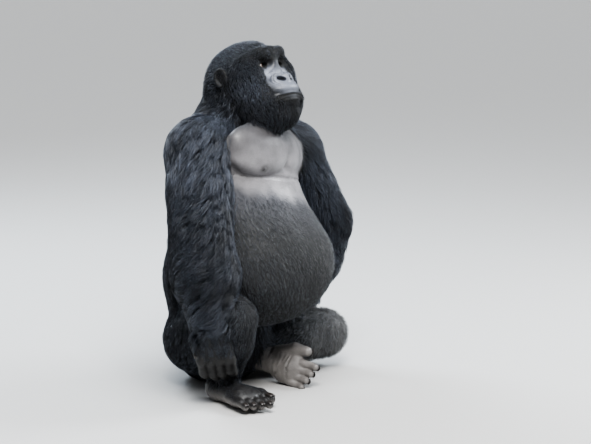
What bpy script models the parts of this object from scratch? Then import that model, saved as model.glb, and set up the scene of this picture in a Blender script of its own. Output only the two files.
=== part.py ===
"""A male mountain gorilla, seated, life size, as a still model.

Frame: +Z up, the floor at Z = 0, the animal facing -Y, its own left side at +X, and the origin
in the middle of the flat it sits on. The points below are given in a frame whose Y = 0 runs
through the chest, and the finished parts are moved to the origin at the end.
The trunk with neck and head, each arm and each leg is moulded whole: overlapping balls and
tapered limbs are fused by a voxel remesh and smoothed. Each is then parted by flat cuts where
a person would name its parts, and fitted round what it rests against, so that every part is a
closed solid of its own. The solids are the animal's outer shape, out to the tips of the coat.
"""

from math import cos, radians, sin

import bmesh
import bpy
from mathutils import Euler, Matrix, Vector

GAP = 0.0005  # between parts that meet
FIT = 0.001  # round what a part rests against
SLIVER = 2e-5  # edges shorter than this are merged away
BLOCK = 3.0  # more than the animal's size

# Trunk, from the seat to the neck. The animal leans a little towards its left.
SEAT = Vector((0.005, 0.135, 0.145))
LOIN = Vector((-0.005, 0.125, 0.34))
BELLY = Vector((0.012, -0.025, 0.405))
RIBS = Vector((0.01, 0.055, 0.64))
YOKE = Vector((0.025, 0.085, 0.79))
ORIGIN = Vector((SEAT.x, SEAT.y, 0.0))  # the part's origin, on the floor under the seat
LEAN = radians(11)  # of the line of the shoulders, lower on the left
CHEST_TURN = radians(13)  # of the breasts round the trunk, towards the left

# Head: the point between the eyes, and how the head is turned from facing along -Y.
EYES = Vector((0.016, -0.066, 1.045))
HEAD_TURN = Euler((radians(-20), radians(2), radians(-4)))
EYE = Vector((0.035, 0.007, -0.005))  # the middle of the left eye, in the head's own frame
EYE_RADIUS = 0.0125

# Arms, joint by joint. The right hand hangs against the right shin; the left rests on the floor.
SHOULDER_R = Vector((-0.19, 0.045, 0.775))
ELBOW_R = Vector((-0.295, -0.055, 0.52))
WRIST_R = Vector((-0.335, -0.14, 0.25))
SHOULDER_L = Vector((0.255, 0.05, 0.72))
ELBOW_L = Vector((0.41, 0.02, 0.475))
WRIST_L = Vector((0.335, 0.10, 0.17))
STUMP = (0.115, 0.125, 0.13)  # radii of the shoulder
BULK_R, BULK_L = 1.0, 0.9  # how full each arm's coat is
CURL_R, CURL_L = radians(38), radians(25)  # of the fingers at each joint
FINGERS = (0.92, 1.05, 1.0, 0.85)  # lengths, as shares of the usual one
FINGER_GAP = 0.0285  # from one finger's middle to the next
SHARED = 0.003  # an arm's root lies this far inside the trunk's
WRIST_CUT = 1.05  # where the hand is parted, from the elbow (0) past the wrist (1)
SHOULDER_DEPTH = 0.035  # from a shoulder's middle in to the cut
SLAB = (0.34, 0.36, 0.20)  # the block that takes an arm's stump off the trunk
CUT_R = Vector((-0.9, 0.0, 0.42)).normalized()
CUT_L = Vector((0.93, 0.0, 0.30)).normalized()

# Legs, joint by joint. The right knee is drawn up; the left leg is folded on the floor.
HIP_R = Vector((-0.12, 0.12, 0.155))
KNEE_R = Vector((-0.25, -0.14, 0.275))
ANKLE_R = Vector((-0.225, -0.09, 0.085))
TOES_R = Vector((-0.27, -0.28, 0.03))
HIP_L = Vector((0.12, 0.16, 0.135))
KNEE_L = Vector((0.345, -0.02, 0.115))
ANKLE_L = Vector((0.12, 0.02, 0.088))
TOES_L = Vector((0.15, -0.17, 0.05))
TOE_CURL_R, TOE_CURL_L = radians(20), radians(30)
TOE_GAP = 0.0225

# How finely each group is fused, how often it is smoothed, and how many triangles it keeps.
TORSO_VOXEL, LIMB_VOXEL, EAR_VOXEL = 0.0055, 0.005, 0.0025
TORSO_ROUNDS, LIMB_ROUNDS, EAR_ROUNDS = 5, 4, 2
HEAD_TRIANGLES, TRUNK_TRIANGLES = 6000, 1300  # of the whole torso, in its two copies
ARM_R_TRIANGLES, ARM_L_TRIANGLES, LEG_TRIANGLES, EAR_TRIANGLES = 900, 800, 760, 200


def clear_scene():
    for obj in list(bpy.data.objects):
        bpy.data.objects.remove(obj)


def material(name, colour, roughness):
    made = bpy.data.materials.new(name)
    made.use_nodes = True
    shader = made.node_tree.nodes["Principled BSDF"]
    shader.inputs["Base Color"].default_value = (*colour, 1.0)
    shader.inputs["Roughness"].default_value = roughness
    return made


# --- tools ----------------------------------------------------------------------------------


def linked(name, mesh):
    obj = bpy.data.objects.new(name, mesh)
    bpy.context.scene.collection.objects.link(obj)
    return obj


def copied(obj, name):
    return linked(name, obj.data.copy())


def apply_modifiers(obj):
    graph = bpy.context.evaluated_depsgraph_get()
    graph.update()
    mesh = bpy.data.meshes.new_from_object(obj.evaluated_get(graph))
    obj.modifiers.clear()
    old, obj.data = obj.data, mesh
    bpy.data.meshes.remove(old)


def combine(obj, cutter, operation):
    """Boolean the cutter with the object and discard it."""
    step = obj.modifiers.new(operation, "BOOLEAN")
    step.operation, step.solver, step.object = operation, "EXACT", cutter
    apply_modifiers(obj)
    bpy.data.objects.remove(cutter)


def along(start, end):
    """The turn that takes +Z to the way from start to end."""
    return (end - start).to_track_quat("Z", "Y").to_matrix().to_4x4()


def frame_of(origin, forward, up):
    """A frame with +X forward, +Z up and +Y to the left of both."""
    x = Vector(forward).normalized()
    y = Vector(up).cross(x).normalized()
    z = x.cross(y)
    turn = Matrix((x, y, z)).transposed().to_4x4()
    return Matrix.Translation(origin) @ turn


class Mould:
    """Closed shapes gathered in one mesh, ready to be fused."""

    def __init__(self):
        self.mesh = bmesh.new()

    def ball(self, centre, radii, turn=(0.0, 0.0, 0.0), frame=None, detail=4):
        """An ellipsoid. With a frame, centre and turn are in that frame."""
        place = Matrix.Translation(centre) @ Euler(turn).to_matrix().to_4x4()
        place = (frame or Matrix()) @ place @ Matrix.Diagonal((*radii, 1.0))
        bmesh.ops.create_icosphere(self.mesh, subdivisions=detail, radius=1.0, matrix=place)

    def limb(self, stations, frame=None):
        """Tapered lengths with round ends through (point, radius) stations."""
        frame = frame or Matrix()
        for (start, r_start), (end, r_end) in zip(stations, stations[1:]):
            a, b = frame @ Vector(start), frame @ Vector(end)
            turn = along(a, b).to_3x3()
            made = bmesh.ops.create_icosphere(self.mesh, subdivisions=3, radius=1.0)
            for vert in made["verts"]:
                middle, radius = (b, r_end) if vert.co.z > 0 else (a, r_start)
                vert.co = middle + turn @ (vert.co * radius)

    def made(self, name):
        """The shapes as an object, just as they are."""
        mesh = bpy.data.meshes.new(name)
        self.mesh.to_mesh(mesh)
        self.mesh.free()
        return linked(name, mesh)

    def fused(self, name, voxel, rounds):
        """The outer surface of all the shapes, smoothed in rounds."""
        obj = self.made(name)
        remesh = obj.modifiers.new("Fuse", "REMESH")
        remesh.mode, remesh.voxel_size = "VOXEL", voxel
        smooth = obj.modifiers.new("Blend", "SMOOTH")
        smooth.factor, smooth.iterations = 0.5, rounds
        apply_modifiers(obj)
        return obj


def thinned(obj, triangles):
    """The object in about that many triangles, cut flat where it meets the floor."""
    thin = obj.modifiers.new("Thin", "DECIMATE")
    thin.ratio = triangles / (2 * len(obj.data.polygons))
    apply_modifiers(obj)
    combine(obj, half_space((0, 0, 0), (0, 0, -1)), "DIFFERENCE")
    return obj


def half_space(point, normal):
    """A big block with one face through the point, reaching the way of the normal."""
    normal = Vector(normal).normalized()
    mesh = bmesh.new()
    centre = Vector(point) + normal * BLOCK / 2
    place = Matrix.Translation(centre) @ along(Vector(), normal) @ Matrix.Scale(BLOCK, 4)
    bmesh.ops.create_cube(mesh, size=1.0, matrix=place)
    data = bpy.data.meshes.new("half_space")
    mesh.to_mesh(data)
    mesh.free()
    return linked("half_space", data)


def halve(obj, point, normal, far_name):
    """Part the object at a plane. The far part, the way of the normal, is returned."""
    point, normal = Vector(point), Vector(normal).normalized()
    far = copied(obj, far_name)
    combine(far, half_space(point + normal * GAP / 2, normal), "INTERSECT")
    combine(obj, half_space(point - normal * GAP / 2, normal), "DIFFERENCE")
    keep_largest(far)
    keep_largest(obj)
    return far


def grown(obj, by):
    """A copy of the object, larger by that much all round."""
    copy = copied(obj, "grown")
    swell = copy.modifiers.new("Swell", "DISPLACE")
    swell.strength, swell.mid_level = by, 0.0
    apply_modifiers(copy)
    return copy


def fit_round(obj, others, collared=False):
    """Take the others' shapes out of the object, so that it rests against them."""
    if collared:
        combine(obj, collar(0.0), "DIFFERENCE")
        keep_largest(obj)
    for other in others:
        combine(obj, grown(other, FIT), "DIFFERENCE")
    keep_largest(obj)


def keep_largest(obj):
    """Drop every separate crumb but the largest piece."""
    mesh = bmesh.new()
    mesh.from_mesh(obj.data)
    left, best = set(mesh.verts), set()
    while left:
        piece, front = set(), [left.pop()]
        while front:
            vert = front.pop()
            piece.add(vert)
            for edge in vert.link_edges:
                other = edge.other_vert(vert)
                if other in left:
                    left.remove(other)
                    front.append(other)
        if len(piece) > len(best):
            best = piece
    bmesh.ops.delete(mesh, geom=[v for v in mesh.verts if v not in best], context="VERTS")
    bmesh.ops.dissolve_degenerate(mesh, dist=SLIVER, edges=mesh.edges)
    mesh.to_mesh(obj.data)
    mesh.free()


# --- trunk, neck and head -------------------------------------------------------------------

HEAD_FRAME = Matrix.Translation(EYES) @ HEAD_TURN.to_matrix().to_4x4()
CHEST_FRONT = Vector((sin(CHEST_TURN), -cos(CHEST_TURN), 0.0))
CHEST_OUT = Vector((cos(LEAN) * cos(CHEST_TURN), sin(CHEST_TURN), -sin(LEAN)))


def add_trunk(m):
    tilt = (0.0, LEAN, 0.0)
    m.ball(SEAT, (0.185, 0.165, 0.165))
    m.ball(LOIN, (0.215, 0.155, 0.22))
    m.ball(BELLY, (0.25, 0.245, 0.20))
    m.ball(BELLY + Vector((0.0, 0.02, -0.03)), (0.215, 0.215, 0.165))
    m.ball(RIBS, (0.225, 0.175, 0.23), tilt)
    m.ball(YOKE, (0.23, 0.125, 0.125), tilt)
    m.ball(BELLY.lerp(RIBS, 0.5), (0.215, 0.19, 0.16))
    back = Vector((0.0, 0.03, 0.0))
    m.limb([(SEAT + back, 0.13), (LOIN + back, 0.15), (RIBS + back, 0.16), (YOKE, 0.13)])
    for side in (-1, 1):
        breast = RIBS + CHEST_FRONT * 0.118 + Vector((0.0, 0.0, 0.10)) + CHEST_OUT * side * 0.096
        outward = CHEST_TURN + side * radians(22)
        m.ball(breast, (0.114, 0.052, 0.066), (radians(-6), LEAN, outward))
        m.ball(breast + Vector((0.0, 0.0, 0.045)), (0.118, 0.046, 0.064), (radians(-14), LEAN, outward))


def add_root(m, shoulder, less=0.0):
    """The root of an arm, which the arm and the trunk share."""
    inner = YOKE + Vector((0.0, 0.0, 0.03))
    m.ball(shoulder, [radius - less for radius in STUMP])
    m.limb([(inner.lerp(shoulder, 0.35), 0.115 - less), (shoulder, 0.11 - less)])


def add_neck(m):
    m.limb([(YOKE + Vector((0.0, -0.02, 0.05)), 0.135), (HEAD_FRAME @ Vector((0, 0.12, -0.06)), 0.12)])
    m.limb([(YOKE + Vector((0.0, 0.02, 0.03)), 0.13), (HEAD_FRAME @ Vector((0, 0.18, -0.05)), 0.10)])


def add_head(m):
    """Shapes in the head's own frame: the origin between the eyes, the face along -Y."""
    head = HEAD_FRAME
    m.ball((0, 0.09, 0.0), (0.106, 0.125, 0.085), frame=head)
    m.ball((0, 0.115, 0.048), (0.068, 0.105, 0.055), frame=head)
    m.ball((0, 0.165, -0.02), (0.108, 0.095, 0.105), frame=head)
    m.ball((0, 0.011, -0.025), (0.081, 0.0265, 0.046), frame=head)
    m.ball((0, -0.014, -0.095), (0.066, 0.060, 0.055), frame=head)
    m.ball((0, -0.042, -0.097), (0.054, 0.039, 0.022), frame=head)
    m.ball((0, -0.034, -0.134), (0.05, 0.044, 0.022), frame=head)
    m.ball((0, -0.010, -0.164), (0.056, 0.050, 0.047), frame=head)
    m.ball((0, 0.03, -0.165), (0.07, 0.085, 0.055), frame=head)
    m.ball((0, -0.008, -0.022), (0.031, 0.022, 0.048), (radians(24), 0, 0), head)
    m.ball((0, -0.051, -0.063), (0.02, 0.020, 0.018), frame=head)
    for side in (-1, 1):
        m.ball((side * 0.07, 0.055, -0.045), (0.048, 0.085, 0.085), frame=head)
        m.ball((side * 0.062, 0.03, -0.125), (0.05, 0.075, 0.065), frame=head)
        m.ball((side * 0.024, -0.046, -0.065), (0.021, 0.022, 0.019), frame=head)
        m.ball((side * 0.046, 0.003, -0.038), (0.03, 0.021, 0.019), frame=head)
        brow = [((0, -0.013, 0.035), 0.021), ((side * 0.042, -0.009, 0.034), 0.0215)]
        m.limb(brow + [((side * 0.085, 0.028, 0.017), 0.018)], head)


def carve_face(head):
    """Eye openings and nostrils."""
    for side in (-1, 1):
        m = Mould()
        m.ball((side * 0.036, -0.012, -0.004), (0.0165, 0.018, 0.009), frame=HEAD_FRAME, detail=2)
        combine(head, m.made("opening"), "DIFFERENCE")
        m = Mould()
        m.ball((side * 0.0175, -0.066, -0.0645), (0.0105, 0.014, 0.007), frame=HEAD_FRAME, detail=2)
        combine(head, m.made("nostril"), "DIFFERENCE")


# The surfaces that part the neck from the trunk and the head from the neck.
COLLAR = Vector((0.01, 0.0, 1.0))
COLLAR_RADII = (0.155, 0.27, 0.215)
NAPE = Vector((0.02, 0.05, 0.885))
NAPE_CUT = Vector((0.0, 0.5, -0.87))

# The hands' and feet's own frames, as add_hand and add_foot describe them.
HAND_R = frame_of(WRIST_R, (0.16, 0.02, -0.98), (-0.80, -0.55, 0.1))
HAND_L = frame_of(WRIST_L, (-0.05, -0.45, -0.88), (0.5, 0.0, 0.6))
FOOT_R = frame_of(ANKLE_R - Vector((0, 0, 0.045)), (TOES_R - ANKLE_R) * Vector((1, 1, 0)), (0, 0, 1))
FOOT_L = frame_of(ANKLE_L - Vector((0.05, 0.015, 0.012)), TOES_L - ANKLE_L, (0.74, 0.60, -0.2))


# --- limbs ----------------------------------------------------------------------------------


def add_hand(m, frame, side, curl):
    """A hand in its frame: +X from the wrist to the knuckles, +Z its back, the thumb to a side."""
    m.limb([((0.0, 0, 0), 0.042), ((0.04, 0, 0.0), 0.044)], frame)
    m.ball((0.055, 0, 0), (0.055, 0.055, 0.03), frame=frame)
    for number, long in enumerate(FINGERS):
        across = (1.5 - number) * FINGER_GAP * side
        point, bend = Vector((0.095, across, 0.002)), curl * 0.6
        stations = [(Vector((0.05, across * 0.8, 0)), 0.022)]
        for length, radius in ((0.0, 0.020), (0.052, 0.018), (0.038, 0.0165), (0.026, 0.014)):
            point = point + Vector((cos(bend), 0, -sin(bend))) * length * long
            stations.append((point, radius))
            bend += curl if length else 0.0
        m.limb(stations, frame)
    thumb = [((0.02, side * 0.035, -0.012), 0.022), ((0.055, side * 0.062, -0.022), 0.017)]
    m.limb(thumb + [((0.085, side * 0.062, -0.03), 0.013)], frame)


def add_foot(m, frame, side, curl):
    """A foot in its frame: +X from the heel to the toes, +Z its back, the big toe to a side."""
    m.ball((-0.03, 0, 0.0), (0.052, 0.045, 0.043), frame=frame)
    m.limb([((-0.01, 0, 0.0), 0.042), ((0.10, -side * 0.01, -0.004), 0.037)], frame)
    m.ball((0.10, 0, -0.004), (0.062, 0.06, 0.031), frame=frame)
    for number in range(4):
        across = side * (0.024 - number * TOE_GAP)
        start = Vector((0.145 - number * 0.008, across, -0.008))
        ahead = Vector((0.036, across * 0.12, 0.0))
        tip = start + ahead + Vector((0.022 * cos(curl), 0, -0.022 * sin(curl)))
        m.limb([(start, 0.0165), (start + ahead, 0.0145), (tip, 0.013)], frame)
    big = [((0.05, side * 0.03, -0.005), 0.028), ((0.105, side * 0.060, -0.008), 0.022)]
    m.limb(big + [((0.15, side * 0.066, -0.012), 0.018)], frame)


def add_arm(m, shoulder, elbow, wrist, bulk):
    """An arm in its long coat, from inside the shoulder down to the fringe over the wrist."""
    m.limb([(shoulder, 0.115), (shoulder.lerp(elbow, 0.5), 0.113 * bulk), (elbow, 0.110 * bulk)])
    belly, fringe = elbow.lerp(wrist, 0.4), elbow.lerp(wrist, 0.85)
    m.limb([(elbow, 0.110 * bulk), (belly, 0.122 * bulk), (fringe, 0.092 * bulk), (wrist, 0.05)])


# --- making each group ----------------------------------------------------------------------


def make_torso():
    """Head, neck and trunk, parted at the head's and at the neck's root."""
    m = Mould()
    add_trunk(m)
    add_root(m, SHOULDER_R)
    add_root(m, SHOULDER_L)
    add_neck(m)
    add_head(m)
    trunk = m.fused("trunk", TORSO_VOXEL, TORSO_ROUNDS)
    head = thinned(copied(trunk, "head"), HEAD_TRIANGLES)
    thinned(trunk, TRUNK_TRIANGLES)
    combine(head, collar(-GAP), "INTERSECT")
    combine(trunk, collar(0.0), "DIFFERENCE")
    keep_largest(head)
    for shoulder, outward in ((SHOULDER_R, CUT_R), (SHOULDER_L, CUT_L)):
        point = shoulder - outward * SHOULDER_DEPTH
        combine(trunk, slab(point, outward), "DIFFERENCE")
    keep_largest(trunk)
    neck = halve(head, NAPE, NAPE_CUT, "neck")
    carve_face(head)
    return trunk, neck, head


def collar(by):
    """The round surface that parts neck and trunk, larger or smaller by that much."""
    m = Mould()
    m.ball(COLLAR, [radius + by for radius in COLLAR_RADII], detail=2)
    return m.made("collar")


def slab(point, normal):
    """A thick block over the stump of an arm, one face through the point."""
    mesh = bmesh.new()
    centre = Vector(point) + normal * SLAB[2] / 2
    place = Matrix.Translation(centre) @ along(Vector(), normal) @ Matrix.Diagonal((*SLAB, 1.0))
    bmesh.ops.create_cube(mesh, size=1.0, matrix=place)
    data = bpy.data.meshes.new("slab")
    mesh.to_mesh(data)
    mesh.free()
    return linked("slab", data)


def between(a, b, c):
    """The way a bent limb a-b-c runs at its joint b."""
    return ((b - a).normalized() + (c - b).normalized()).normalized()


def make_arm_r(others):
    m = Mould()
    add_root(m, SHOULDER_R, SHARED)
    add_arm(m, SHOULDER_R, ELBOW_R, WRIST_R, BULK_R)
    add_hand(m, HAND_R, -1, CURL_R)
    upper = thinned(m.fused("upper_arm_r", LIMB_VOXEL, LIMB_ROUNDS), ARM_R_TRIANGLES)
    fit_round(upper, others, collared=True)
    fore = halve(upper, ELBOW_R, between(SHOULDER_R, ELBOW_R, WRIST_R), "forearm_r")
    hand = halve(fore, ELBOW_R.lerp(WRIST_R, WRIST_CUT), WRIST_R - ELBOW_R, "hand_r")
    return upper, fore, hand


def make_arm_l(others):
    m = Mould()
    add_root(m, SHOULDER_L, SHARED)
    add_arm(m, SHOULDER_L, ELBOW_L, WRIST_L, BULK_L)
    add_hand(m, HAND_L, 1, CURL_L)
    upper = thinned(m.fused("upper_arm_l", LIMB_VOXEL, LIMB_ROUNDS), ARM_L_TRIANGLES)
    fit_round(upper, others, collared=True)
    fore = halve(upper, ELBOW_L, between(SHOULDER_L, ELBOW_L, WRIST_L), "forearm_l")
    hand = halve(fore, ELBOW_L.lerp(WRIST_L, WRIST_CUT), WRIST_L - ELBOW_L, "hand_l")
    return upper, fore, hand


def make_leg_r(trunk):
    m = Mould()
    calf = KNEE_R.lerp(ANKLE_R, 0.4)
    m.limb([(HIP_R, 0.12), (KNEE_R, 0.085)])
    m.limb([(KNEE_R, 0.085), (calf, 0.082), (ANKLE_R, 0.055)])
    add_foot(m, FOOT_R, 1, TOE_CURL_R)
    thigh = thinned(m.fused("thigh_r", LIMB_VOXEL, LIMB_ROUNDS), LEG_TRIANGLES)
    fit_round(thigh, [trunk])
    shank = halve(thigh, KNEE_R, between(HIP_R, KNEE_R, ANKLE_R), "shank_r")
    foot = halve(shank, ANKLE_R, ANKLE_R - KNEE_R, "foot_r")
    return thigh, shank, foot


def make_leg_l(others):
    m = Mould()
    calf = KNEE_L.lerp(ANKLE_L, 0.5)
    m.limb([(HIP_L, 0.12), (KNEE_L, 0.088)])
    m.limb([(KNEE_L, 0.088), (calf, 0.078), (ANKLE_L, 0.055)])
    add_foot(m, FOOT_L, -1, TOE_CURL_L)
    thigh = thinned(m.fused("thigh_l", LIMB_VOXEL, LIMB_ROUNDS), LEG_TRIANGLES)
    fit_round(thigh, others)
    shank = halve(thigh, KNEE_L, between(HIP_L, KNEE_L, ANKLE_L), "shank_l")
    foot = halve(shank, ANKLE_L, ANKLE_L - KNEE_L, "foot_l")
    return thigh, shank, foot


def make_eye(head, side):
    """An eyeball, in a socket of the head."""
    centre = HEAD_FRAME @ Vector((side * EYE.x, EYE.y, EYE.z))
    m = Mould()
    m.ball(centre, [EYE_RADIUS + GAP] * 3, detail=2)
    combine(head, m.made("socket"), "DIFFERENCE")
    m = Mould()
    m.ball(centre, [EYE_RADIUS] * 3, detail=2)
    return m.made("eye_l" if side > 0 else "eye_r")


def make_ear(head, side):
    """A small flat ear with a rolled rim, lying close to the head."""
    m = Mould()
    centre = Vector((side * 0.106, 0.108, -0.012))
    rim = []
    for step in range(11):
        angle = radians(-70 + 29 * step)  # most of the way round, open in front
        round_it = Vector((side * 0.014, 0.018 * cos(angle) + 0.018 * sin(angle), 0.026 * sin(angle)))
        rim.append((centre + round_it, 0.0055))
    m.limb(rim, HEAD_FRAME)
    m.ball(centre, (0.012, 0.018, 0.024), frame=HEAD_FRAME)
    ear = thinned(m.fused("ear_l" if side > 0 else "ear_r", EAR_VOXEL, EAR_ROUNDS), EAR_TRIANGLES)
    fit_round(ear, [head])
    return ear


def paint(parts):
    """Each part in a material of its own."""
    for obj in parts:
        colour, roughness = next(look for start, look in LOOKS if obj.name.startswith(start))
        obj.data.materials.clear()
        obj.data.materials.append(material(obj.name, colour, roughness))


# Colour and roughness by the first letters of a part's name.
COAT, LEG_COAT = (0.030, 0.031, 0.036), (0.050, 0.047, 0.045)
LOOKS = (
    ("eye", ((0.045, 0.018, 0.008), 0.12)),
    ("ear", ((0.035, 0.033, 0.034), 0.55)),
    ("hand", ((0.048, 0.042, 0.040), 0.55)),
    ("foot", ((0.085, 0.072, 0.066), 0.6)),
    ("trunk", ((0.085, 0.082, 0.084), 0.65)),
    ("shank", (LEG_COAT, 0.75)),
    ("thigh", (LEG_COAT, 0.75)),
    ("", (COAT, 0.7)),
)


def main():
    clear_scene()
    trunk, neck, head = make_torso()
    leg_r = make_leg_r(trunk)
    leg_l = make_leg_l([trunk, *leg_r])
    arm_r = make_arm_r([trunk, *leg_r])
    arm_l = make_arm_l([trunk, *leg_l])
    eyes = [make_eye(head, side) for side in (-1, 1)]
    ears = [make_ear(head, side) for side in (-1, 1)]
    parts = [trunk, neck, head, *leg_r, *leg_l, *arm_r, *arm_l, *eyes, *ears]
    for obj in parts:
        obj.data.transform(Matrix.Translation(-ORIGIN))
    paint(parts)


main()
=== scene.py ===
"""The seated gorilla dressed: one skin, a coat of mesh tufts, eyes and nails over the CAD frame.

The skin is a signed distance: named balls and limbs blended together, inside the CAD solids by
the depth of the coat. It is meshed on a grid, refined on face, ears, hands, feet and chest, and
pulled onto the exact surface. The coat is grown on it in pieces of joined, tapered tufts.
Points are in metres in the CAD frame: +Z up, the animal facing -Y, its left side at +X.
"""

from collections import namedtuple
from math import cos, pi, radians, sin

import bmesh
import bpy
import numpy as np
import openvdb
from mathutils import Euler, Matrix, Vector


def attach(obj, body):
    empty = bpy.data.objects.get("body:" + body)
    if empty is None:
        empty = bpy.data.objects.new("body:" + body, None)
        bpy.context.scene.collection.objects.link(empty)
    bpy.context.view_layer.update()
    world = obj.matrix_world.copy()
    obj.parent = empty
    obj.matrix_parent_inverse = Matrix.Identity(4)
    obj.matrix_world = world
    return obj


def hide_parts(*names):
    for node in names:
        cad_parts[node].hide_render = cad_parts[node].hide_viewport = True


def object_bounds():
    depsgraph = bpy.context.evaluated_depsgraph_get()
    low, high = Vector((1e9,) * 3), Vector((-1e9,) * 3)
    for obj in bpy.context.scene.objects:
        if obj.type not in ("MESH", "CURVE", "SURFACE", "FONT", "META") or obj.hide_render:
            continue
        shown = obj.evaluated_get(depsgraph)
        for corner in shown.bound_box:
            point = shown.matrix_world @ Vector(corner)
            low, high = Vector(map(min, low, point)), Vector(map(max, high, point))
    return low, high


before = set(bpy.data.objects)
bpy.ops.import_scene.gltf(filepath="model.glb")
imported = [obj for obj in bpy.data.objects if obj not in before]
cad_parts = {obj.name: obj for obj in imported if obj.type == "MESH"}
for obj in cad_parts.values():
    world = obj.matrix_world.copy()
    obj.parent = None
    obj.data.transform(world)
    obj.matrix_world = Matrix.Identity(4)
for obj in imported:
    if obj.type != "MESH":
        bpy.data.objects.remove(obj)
LOW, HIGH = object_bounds()
HEIGHT = 1.1139  # of the CAD frame for which the points below are given
K = (HIGH.z - LOW.z) / HEIGHT
SEAT_AT = Vector((0.005, 0.135, 0.0))  # the frame's origin among the points below
RIGHT, LEFT = SIDES = (-1, 1)


def v(x, y, z):
    return Vector((x, y, z)) * K


def at(x, y, z):
    return (Vector((x, y, z)) - SEAT_AT) * K


def pair(right, left):
    """A joint of the body on each side."""
    return {RIGHT: at(*right), LEFT: at(*left)}


def frame_of(origin, forward, up):
    """A frame with +X forward, +Z up and +Y to the left of both."""
    x = Vector(forward).normalized()
    y = Vector(up).cross(x).normalized()
    turn = Matrix((x, y, x.cross(y))).transposed().to_4x4()
    return Matrix.Translation(origin) @ turn


# --- the body's points, as the CAD has them ---------------------------------------------------

SEAT = at(0.005, 0.135, 0.145)
LOIN = at(-0.005, 0.125, 0.34)
BELLY = at(0.012, -0.025, 0.405)
RIBS = at(0.01, 0.055, 0.64)
YOKE = at(0.025, 0.085, 0.79)
EYES = at(0.016, -0.066, 1.045)
SHOULDER = pair((-0.19, 0.045, 0.775), (0.255, 0.05, 0.72))
ELBOW = pair((-0.295, -0.055, 0.52), (0.41, 0.02, 0.475))
WRIST = pair((-0.335, -0.14, 0.25), (0.335, 0.10, 0.17))
HIP = pair((-0.12, 0.12, 0.155), (0.12, 0.16, 0.135))
KNEE = pair((-0.25, -0.14, 0.275), (0.345, -0.02, 0.115))
ANKLE = pair((-0.225, -0.09, 0.085), (0.12, 0.02, 0.088))
TOES = pair((-0.27, -0.28, 0.03), (0.15, -0.17, 0.05))
LEAN = radians(11)
CHEST_TURN = radians(13)
CHEST_FRONT = Vector((sin(CHEST_TURN), -cos(CHEST_TURN), 0.0))
CHEST_OUT = Vector((cos(LEAN) * cos(CHEST_TURN), sin(CHEST_TURN), -sin(LEAN)))
CHEST = frame_of(RIBS, CHEST_FRONT, (0, 0, 1))
HEAD_TURN = Euler((radians(-20), radians(2), radians(-4))).to_matrix()
HEAD = Matrix.Translation(EYES) @ HEAD_TURN.to_4x4()
HAND = {RIGHT: frame_of(WRIST[RIGHT], (0.16, 0.02, -0.98), (-0.80, -0.55, 0.1)),
        LEFT: frame_of(WRIST[LEFT], (-0.05, -0.45, -0.88), (0.5, 0.0, 0.6))}
FOOT = {RIGHT: frame_of(ANKLE[RIGHT] - Vector((0, 0, 0.045)),
                        (TOES[RIGHT] - ANKLE[RIGHT]) * Vector((1, 1, 0)), (0, 0, 1)),
        LEFT: frame_of(ANKLE[LEFT] - Vector((0.05, 0.015, 0.012)),
                       TOES[LEFT] - ANKLE[LEFT], (0.74, 0.60, -0.2))}
EYE = Vector((0.035, 0.007, -0.005))  # the left eye's middle, in the head's frame
EYE_RADIUS = 0.0125
# the lowest that the skin, the triangles with hair, and the tufts' points and paths may lie
SKIN_FLOOR, ROOT_FLOOR, TUFT_FLOOR, PATH_FLOOR = 0.0005, 0.006, 0.0012, 0.0022

# How deep the coat lies over the skin, by region.
DEPTH = {"arm": 0.024, "fore": 0.026, "trunk": 0.015, "belly": 0.006, "breast": 0.0015, "neck": 0.018,
         "skull": 0.011, "cheek": 0.008, "face": 0.0, "chin": 0.006, "ear": 0.0, "hand": 0.001,
         "thigh": 0.014, "shank": 0.012, "foot": 0.0015, "brow": 0.004}
REGIONS = sorted(DEPTH)

# --- the skin's form as a signed distance -----------------------------------------------------

FAR = 0.05  # distances beyond this aren't worked out
CELLS = 8  # grid cells along a block
BLOCK, WIDE_BLOCK = 0.04, 0.15  # sizes of the blocks in which points are measured together
SLOPE_STEP = 0.0003
RAY_STEPS, RAY_SHARE, RAY_END = 80, 0.7, 0.0002  # of the way to the form, and how near is there
SLOPE_CORNERS = np.array([(0, 0, 0), (1, 1, 1), (1, -1, -1), (-1, 1, -1), (-1, -1, 1)]) * SLOPE_STEP
Item = namedtuple("Item", "region distance low high blend carve groove")
Tip = namedtuple("Tip", "place point ahead radius")


def smoothstep(low, high, x):
    t = np.clip((x - low) / (high - low), 0.0, 1.0)
    return t * t * (3 - 2 * t)


def unit(a):
    return a / np.maximum(np.linalg.norm(a, axis=-1, keepdims=True), 1e-9)


def lengths(a):
    return np.sqrt(np.einsum("ij,ij->i", a, a))


def soft_min(a, b, k):
    h = np.maximum(k - np.abs(a - b), 0.0) / k
    return np.minimum(a, b) - h * h * k * 0.25


def inverse(place):
    return np.array(place.inverted())


def moved(p, matrix):
    return p @ matrix[:3, :3].T + matrix[:3, 3]


def block_key(cell):
    """One number for each cell of space."""
    x, y, z = cell.T + 512
    return (x * 1024 + y) * 1024 + z


def lattice(*axes):
    """Every combination of the axes' values, as rows."""
    return np.stack(np.meshgrid(*axes, indexing="ij"), -1).reshape(-1, len(axes))


def by_block(p, size=BLOCK):
    """Groups of points, as index arrays, by the block of space in which they lie."""
    key = block_key(np.floor(p / size).astype(np.int64))
    order = np.argsort(key, kind="stable")
    return np.split(order, np.flatnonzero(np.diff(key[order])) + 1)


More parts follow.
